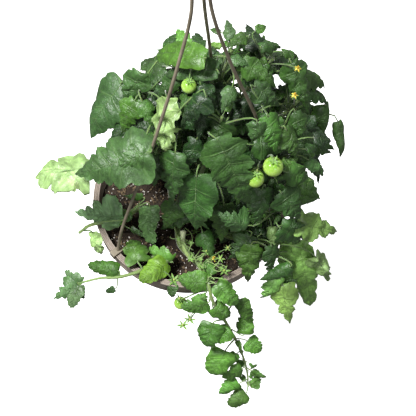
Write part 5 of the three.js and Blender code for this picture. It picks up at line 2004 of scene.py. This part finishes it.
@dataclass
class Pot:
    """The moulded hanging pot: a tapered shell with a stepped band and a grooved rim.

    rim_grooves are the radii of the grooves on top of the rim, and band_grooves the heights of
    those round the band.
    """

    finish: Material
    rim_radius: float = 127.0
    lip_height: float = 4.0
    lip_reach: float = 1.2
    band_radius: float = 124.5
    band_height: float = 28.0
    skirt_joint: float = 8.0
    skirt_thickness: float = 1.9
    inner_step: float = 15.0
    wall_top: float = 121.0
    base_radius: float = 58.0
    height: float = 138.0
    wall: float = 2.0
    base_thickness: float = 3.0
    drain_radius: float = 6.0
    drain_circle: float = 34.0
    drains: int = 5
    sides: int = 160
    rim_grooves: tuple[float, ...] = (124.9, 122.7, 120.9)
    rim_groove_depth: float = 0.9
    band_grooves: tuple[float, ...] = (-20.5, -13.0)
    rounding: float = 0.6

    def profile(self) -> list[Array]:
        """Returns the shell's section, (radius, height), from its underside up and down inside."""
        inner = self.wall_top - self.wall
        steps = []
        for groove in self.rim_grooves:
            steps += [(groove + 0.45, 0.0), (groove + 0.3, -self.rim_groove_depth)]
            steps += [(groove - 0.3, -self.rim_groove_depth), (groove - 0.45, 0.0)]
        skirt = self.band_radius - self.skirt_thickness
        outer = [
            (0.0, -self.height),
            (self.base_radius, -self.height),
            (self.wall_top - 1, -self.inner_step),
            (self.wall_top, -self.skirt_joint),
            (skirt, -self.skirt_joint),
            (skirt - 0.4, -self.band_height),
            (self.band_radius - 0.4, -self.band_height),
        ]
        for groove in self.band_grooves:
            outer += [(self.band_radius - 0.2, groove - 0.8), (self.band_radius - 0.8, groove - 0.5)]
            outer += [(self.band_radius - 0.8, groove + 0.5), (self.band_radius - 0.2, groove + 0.8)]
        outer += [
            (self.band_radius, -self.skirt_joint),
            (self.band_radius + self.lip_reach, 0.4 - self.skirt_joint),
            (self.band_radius + self.lip_reach, -self.lip_height - 0.6),
            (self.rim_radius, -self.lip_height),
            (self.rim_radius, 0.0),
        ]
        inside = [
            (inner, 0.0),
            (inner - 1, -self.inner_step),
            (self.base_radius - self.wall + 1.6, -self.height + self.base_thickness),
            (0.0, -self.height + self.base_thickness),
        ]
        return rounded(outer + steps + inside, self.rounding, 3)

    def build(self) -> None:
        """Spins the section, cuts the drain holes and replaces the solid."""
        piece = write_piece("hanging_pot", [lathe(self.profile(), self.sides)], [self.finish])
        for angle in ring_angles(self.drains):
            x, y = self.drain_circle * math.cos(angle), self.drain_circle * math.sin(angle)
            line = [[x, y, z - self.height] for z in (-6, 0, 9)]
            hole = tube(line, self.drain_radius, 24, PLAIN_TINT)
            cutter = write_piece("drain_cutter", [hole], [self.finish])
            cut = piece.modifiers.new("drain", "BOOLEAN")
            cut.object, cut.solver = cutter, "EXACT"
            bpy.context.view_layer.objects.active = piece
            bpy.ops.object.modifier_apply(modifier=cut.name)
            bpy.data.objects.remove(cutter)
        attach(piece, "root")
        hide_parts("pot")
        LOG.info("hanging_pot: %d faces", len(piece.data.polygons))


@dataclass
class Soil:
    """Potting mix: a lumpy top with bark chips, crumbs and white perlite grains.

    The grains are perlite, bark and peat, each with its share, its three sizes and its colour.
    """

    finish: Material
    depth: float = 18.0
    relief: float = 3.0
    edge: float = 116.6
    foot: float = -134.7
    foot_radius: float = 56.6
    rings: int = 46
    sides: int = 180
    crumbs: int = 3200
    kinds: tuple[tuple[float, tuple[float, float, float], str], ...] = (
        (0.2, (1.1, 1.0, 0.9), "#e6e1d8"),
        (0.3, (3.2, 1.6, 0.8), "#6c5c46"),
        (0.5, (1.3, 1.1, 0.9), "#3f342a"),
    )

    def top(self, x: Array, y: Array) -> Array:
        """The top's height: eight crossing waves, 15 to 60 mm long, lower at the edge.

        Args:
            x: Places across the pot.
            y: Places from front to back.

        Returns:
            The heights there.
        """
        rng = np.random.default_rng(23)
        height = np.full(np.shape(x), -self.depth)
        for _ in range(8):
            size, turn, phase = rng.uniform(15, 60), rng.uniform(0, np.pi), rng.uniform(0, 6.3)
            wave = np.sin(2 * np.pi * (x * math.cos(turn) + y * math.sin(turn)) / size + phase)
            height = height + 0.3 * self.relief * wave * size / 60
        return height - 1.5 * smooth(np.hypot(x, y), 80, self.edge)

    def body(self) -> Skin:
        """Returns the filled body: a fine round grid over the top, then plain walls and floor."""
        angle = ring_angles(self.sides)
        r = np.linspace(self.edge, 2, self.rings)[:, None]
        x, y = r * np.cos(angle), r * np.sin(angle)
        z = self.top(x, y) + np.random.default_rng(5).normal(0, 0.35, x.shape)
        top = np.stack([x, y, z], axis=-1)
        wall = top[0] / self.edge * self.foot_radius
        wall[:, 2] = self.foot
        poles = [[0, 0, self.foot], [0, 0, z[-1].mean()]]
        points = np.vstack([wall, top.reshape(-1, 3), poles])
        return Skin.plain(points, closed_faces(self.rings + 1, self.sides), linear("#30271e"))

    def grains(self) -> Skin:
        """Returns the loose grains, strewn over the top.

        A grain is an icosahedron, each of whose points is pushed in or out at random, scaled by
        three sizes and turned by a random frame.
        """
        rng = np.random.default_rng(29)
        gold = (1 + 5**0.5) / 2
        raw = [(0, s, t * gold) for s in (-1, 1) for t in (-1, 1)]
        ball = unit(np.array([p[k:] + p[:k] for k in range(3) for p in raw], float))
        # Its twenty faces join three points that lie one edge apart
        near = np.linalg.norm(ball[:, None] - ball[None], axis=2) < 1.2
        hull = []
        for i, j, k in combinations(range(12), 3):
            if near[i, j] and near[j, k] and near[i, k]:
                a, b, c = ball[[i, j, k]]
                out = np.dot(np.cross(b - a, c - a), a) > 0
                hull.append((i, j, k) if out else (i, k, j))
        n = self.crumbs
        shares, sizes, colours = zip(*self.kinds)
        kind = rng.choice(len(shares), n, p=shares)
        sizes = np.array(sizes)[kind] * rng.uniform(0.55, 1.45, (n, 1))
        frames = np.linalg.qr(rng.normal(0, 1, (n, 3, 3)))[0]
        frames *= np.sign(np.linalg.det(frames))[:, None, None]
        shape = ball[None] * rng.uniform(0.75, 1.15, (n, 12, 1)) * sizes[:, None]
        shape = np.einsum("nij,nkj->nki", frames, shape)
        r = (self.edge - 2) * np.sqrt(rng.uniform(0, 1, n))
        angle = rng.uniform(0, 2 * np.pi, n)
        x, y = r * np.cos(angle), r * np.sin(angle)
        z = self.top(x, y) + rng.uniform(0.0, 1.0, n)
        points = (shape + np.stack([x, y, z], axis=-1)[:, None]).reshape(-1, 3)
        faces = (np.array(hull) + 12 * np.arange(n)[:, None, None]).reshape(-1, 3)
        tints = np.array([linear(c)[:3] for c in colours])[kind] * rng.uniform(0.6, 1.3, (n, 1))
        return Skin.plain(points, faces, np.repeat(tints, 12, axis=0))

    def build(self) -> None:
        """Writes the soil in place of its solid."""
        piece = write_piece("potting_mix", [self.body(), self.grains()], [self.finish])
        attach(piece, "root")
        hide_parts("soil")
        LOG.info("potting_mix: %d triangles", len(piece.data.polygons))


@dataclass
class Hanger:
    """Three moulded strands that clip on the rim and meet in a crown with a hook.

    ways holds each strand's clip, in degrees round the rim, and the points on its way up.
    """

    finish: Material
    radius: float = 2.0
    foot_radius: float = 119.5
    crown_height: float = 512.0
    crown_radius: float = 13.0
    hook_wire: float = 2.5
    hook_bend: float = 13.0
    hook_centre: float = 556.0
    clip_width: float = 9.0
    clip_wall: float = 2.4
    clip_inner: float = 116.8
    clip_outer: float = 127.5
    clip_catch: float = 125.1
    clip_rounding: float = 0.5
    ways: dict[str, tuple[float, list[tuple[float, float, float]]]] = field(
        default_factory=lambda: {
            "left": (222, [(-84, -73, 45), (-45, -43, 220), (-18, -21, 365), (-6, -10, 449)]),
            "right": (350, [(112, -19, 50), (80, -10, 220), (39, -5, 350), (15, -5, 449)]),
            "back": (74, [(31, 104, 60), (16, 53, 295), (8, 30, 400)]),
        }
    )

    def strand(self, clip: float, way: list[tuple[float, float, float]]) -> Skin:
        """A strand from its clip to its seat in the crown.

        Args:
            clip: Where the clip sits, in degrees round the rim.
            way: The points between.

        Returns:
            The closed tube.
        """
        a = math.radians(clip)
        c, s = math.cos(a), math.sin(a)
        path = [
            (self.foot_radius * c, self.foot_radius * s, 2.0),
            *way,
            (8.5 * c, 8.5 * s, self.crown_height - 6),
            (6.5 * c, 6.5 * s, self.crown_height + 7),
        ]
        t = np.linspace(0, 1, 90)
        line = curve_points(path, t, centripetal=True)
        seam = self.radius * (1 + 0.25 * smooth(-t, -0.03, 0.0))
        return tube(line, seam, 14, PLAIN_TINT, ribs=0.03)

    def clip(self, name: str, degrees: float) -> Object:
        """A clip that straddles the rim: its section, pulled to a bar, with its edges rounded.

        Args:
            name: The object's name.
            degrees: Where it sits round the rim.

        Returns:
            The object.
        """
        inner, outer, catch = self.clip_inner, self.clip_outer, self.clip_catch
        back, front = inner - self.clip_wall, outer + self.clip_wall
        section = [
            (back, -9.0), (inner, -9.0), (inner, 0.4), (outer, 0.4), (outer, -4.4),
            (catch, -4.4), (catch, -6.4), (front, -6.4), (front, 3.4), (back, 3.4),
        ]
        a = math.radians(degrees)
        out, side = np.array([math.cos(a), math.sin(a), 0]), np.array([-math.sin(a), math.cos(a), 0])
        half = self.clip_width / 2
        points = [
            tuple((r * out + h * side + np.array([0, 0, z - HANG_HEIGHT])) * MM)
            for h in (-half, half)
            for r, z in section
        ]
        n = len(section)
        faces = [list(range(n)), list(range(2 * n - 1, n - 1, -1))]
        faces += [[k, k + n, (k + 1) % n + n, (k + 1) % n] for k in range(n)]
        mesh = bpy.data.meshes.new(name)
        mesh.from_pydata(points, [], faces)
        mesh.materials.append(self.finish)
        piece = bpy.data.objects.new(name, mesh)
        bpy.context.scene.collection.objects.link(piece)
        edge = piece.modifiers.new("rounded_edges", "BEVEL")
        edge.width, edge.segments = self.clip_rounding * MM, 2
        return piece

    def build(self) -> None:
        """Builds strands, clips, crown and hook in place of their solids."""
        for name, (clip, way) in self.ways.items():
            piece = write_piece("strand_" + name, [self.strand(clip, way)], [self.finish])
            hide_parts("hanger_strand_" + name)
            bar = self.clip("clip_" + name, clip)
            for made in (piece, bar):
                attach(made, "root")
        h, r, bend = self.crown_height, self.crown_radius, self.hook_bend
        section = [(0, h), (r, h), (r + 1, h + 3), (r - 2, h + 10), (7.5, h + 13), (6, h + 16), (0, h + 16)]
        crown = lathe(rounded(section, 1.2), 48)
        path = [(0, 0, h + 9), (0, 0, h + 20), (0.7 * bend, 0, self.hook_centre - 0.8 * bend)]
        for a in np.radians([0, 45, 90, 135, 180, 215]):
            path.append((bend * math.cos(a), 0, self.hook_centre + bend * math.sin(a)))
        line = curve_points(path, np.linspace(0, 1, 70), centripetal=True)
        hook = tube(line, self.hook_wire, 14, PLAIN_TINT)
        piece = write_piece("crown_and_hook", [crown, hook], [self.finish])
        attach(piece, "root")
        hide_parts("hanger_crown")
        LOG.info("strands, clips, crown_and_hook: made")


@dataclass
class Studio:
    """A plain pale floor below the hanging pot, and soft light from above and the left.

    lamps holds each lamp's name, place, power and side.
    """

    floor_drop: float = 1150.0
    floor_side: float = 12.0
    aim: tuple[float, float, float] = (0.03, 0.0, -0.45)
    lamps: tuple[tuple[str, tuple[float, float, float], float, float], ...] = (
        ("key", (-1.1, -0.2, 1.9), 128.0, 0.5),
        ("fill", (0.9, -1.9, 1.2), 14.0, 1.0),
        ("back", (0.9, 1.6, 1.3), 16.0, 1.0),
    )

    def build(self) -> None:
        """Builds the floor, the world and the lights."""
        mesh = bpy.data.meshes.new("floor")
        half, z = self.floor_side / 2, -self.floor_drop * MM
        corners = [(-half, -half, z), (half, -half, z), (half, half, z), (-half, half, z)]
        mesh.from_pydata(corners, [], [(0, 1, 2, 3)])
        floor = bpy.data.objects.new("floor", mesh)
        bpy.context.scene.collection.objects.link(floor)
        pale = {"Base Color": linear("#fbfbfa"), "Roughness": 0.9}
        glow = {"Emission Color": linear("#ffffff"), "Emission Strength": 0.7}
        mesh.materials.append(Surface("studio_floor_pale").finish({**pale, **glow}))
        floor.visible_diffuse = False
        floor.visible_glossy = False
        world = bpy.data.worlds.new("studio")
        world.use_nodes = True
        world.node_tree.nodes["Background"].inputs[0].default_value = (1.0, 1.0, 1.0, 1.0)
        world.node_tree.nodes["Background"].inputs[1].default_value = 0.2
        bpy.context.scene.world = world
        bpy.context.scene.view_settings.view_transform = "Standard"
        for name, place, power, size in self.lamps:
            data = bpy.data.lights.new(name, "AREA")
            data.energy, data.size = power, size
            lamp = bpy.data.objects.new(name, data)
            bpy.context.scene.collection.objects.link(lamp)
            lamp.location = place
            aim = Vector(self.aim) - Vector(place)
            lamp.rotation_euler = aim.to_track_quat("-Z", "Y").to_euler()


def main() -> None:
    """Loads the frame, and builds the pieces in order."""
    logging.basicConfig(level=logging.INFO, format="%(message)s")
    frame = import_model()
    camera = PhotoCamera()
    camera.build()
    Studio().build()
    plastic = MouldedFinish("polypropylene_taupe_moulded", "#8a7f73", "#a1958a")
    strand = MouldedFinish("polypropylene_brown_moulded", "#6f6656", "#9c927e")
    Pot(plastic.build()).build()
    Soil(SoilFinish().build()).build()
    Hanger(strand.build()).build()
    foliage = Foliage(frame, camera)
    foliage.grow_stems()
    foliage.grow_solid_leaves()
    foliage.grow_slight_leaves()
    foliage.grow_sprouts()
    foliage.grow_filling()
    fruiting = Fruiting(foliage, FruitFinish().build(), PetalFinish().build())
    for row in FRUITS:
        fruiting.add_fruit(*row)
    for index, (node, stem, at) in enumerate(FLOWERS):
        fruiting.add_flower(node, stem, at, index)
    for row in TRUSSES:
        fruiting.add_truss(*row)
    fruiting.add_tangle()
    fruiting.add_stub()
    foliage.dress(LeafFinish().build(), StemFinish().build(), fruiting.extra)


if __name__ == "__main__":
    main()
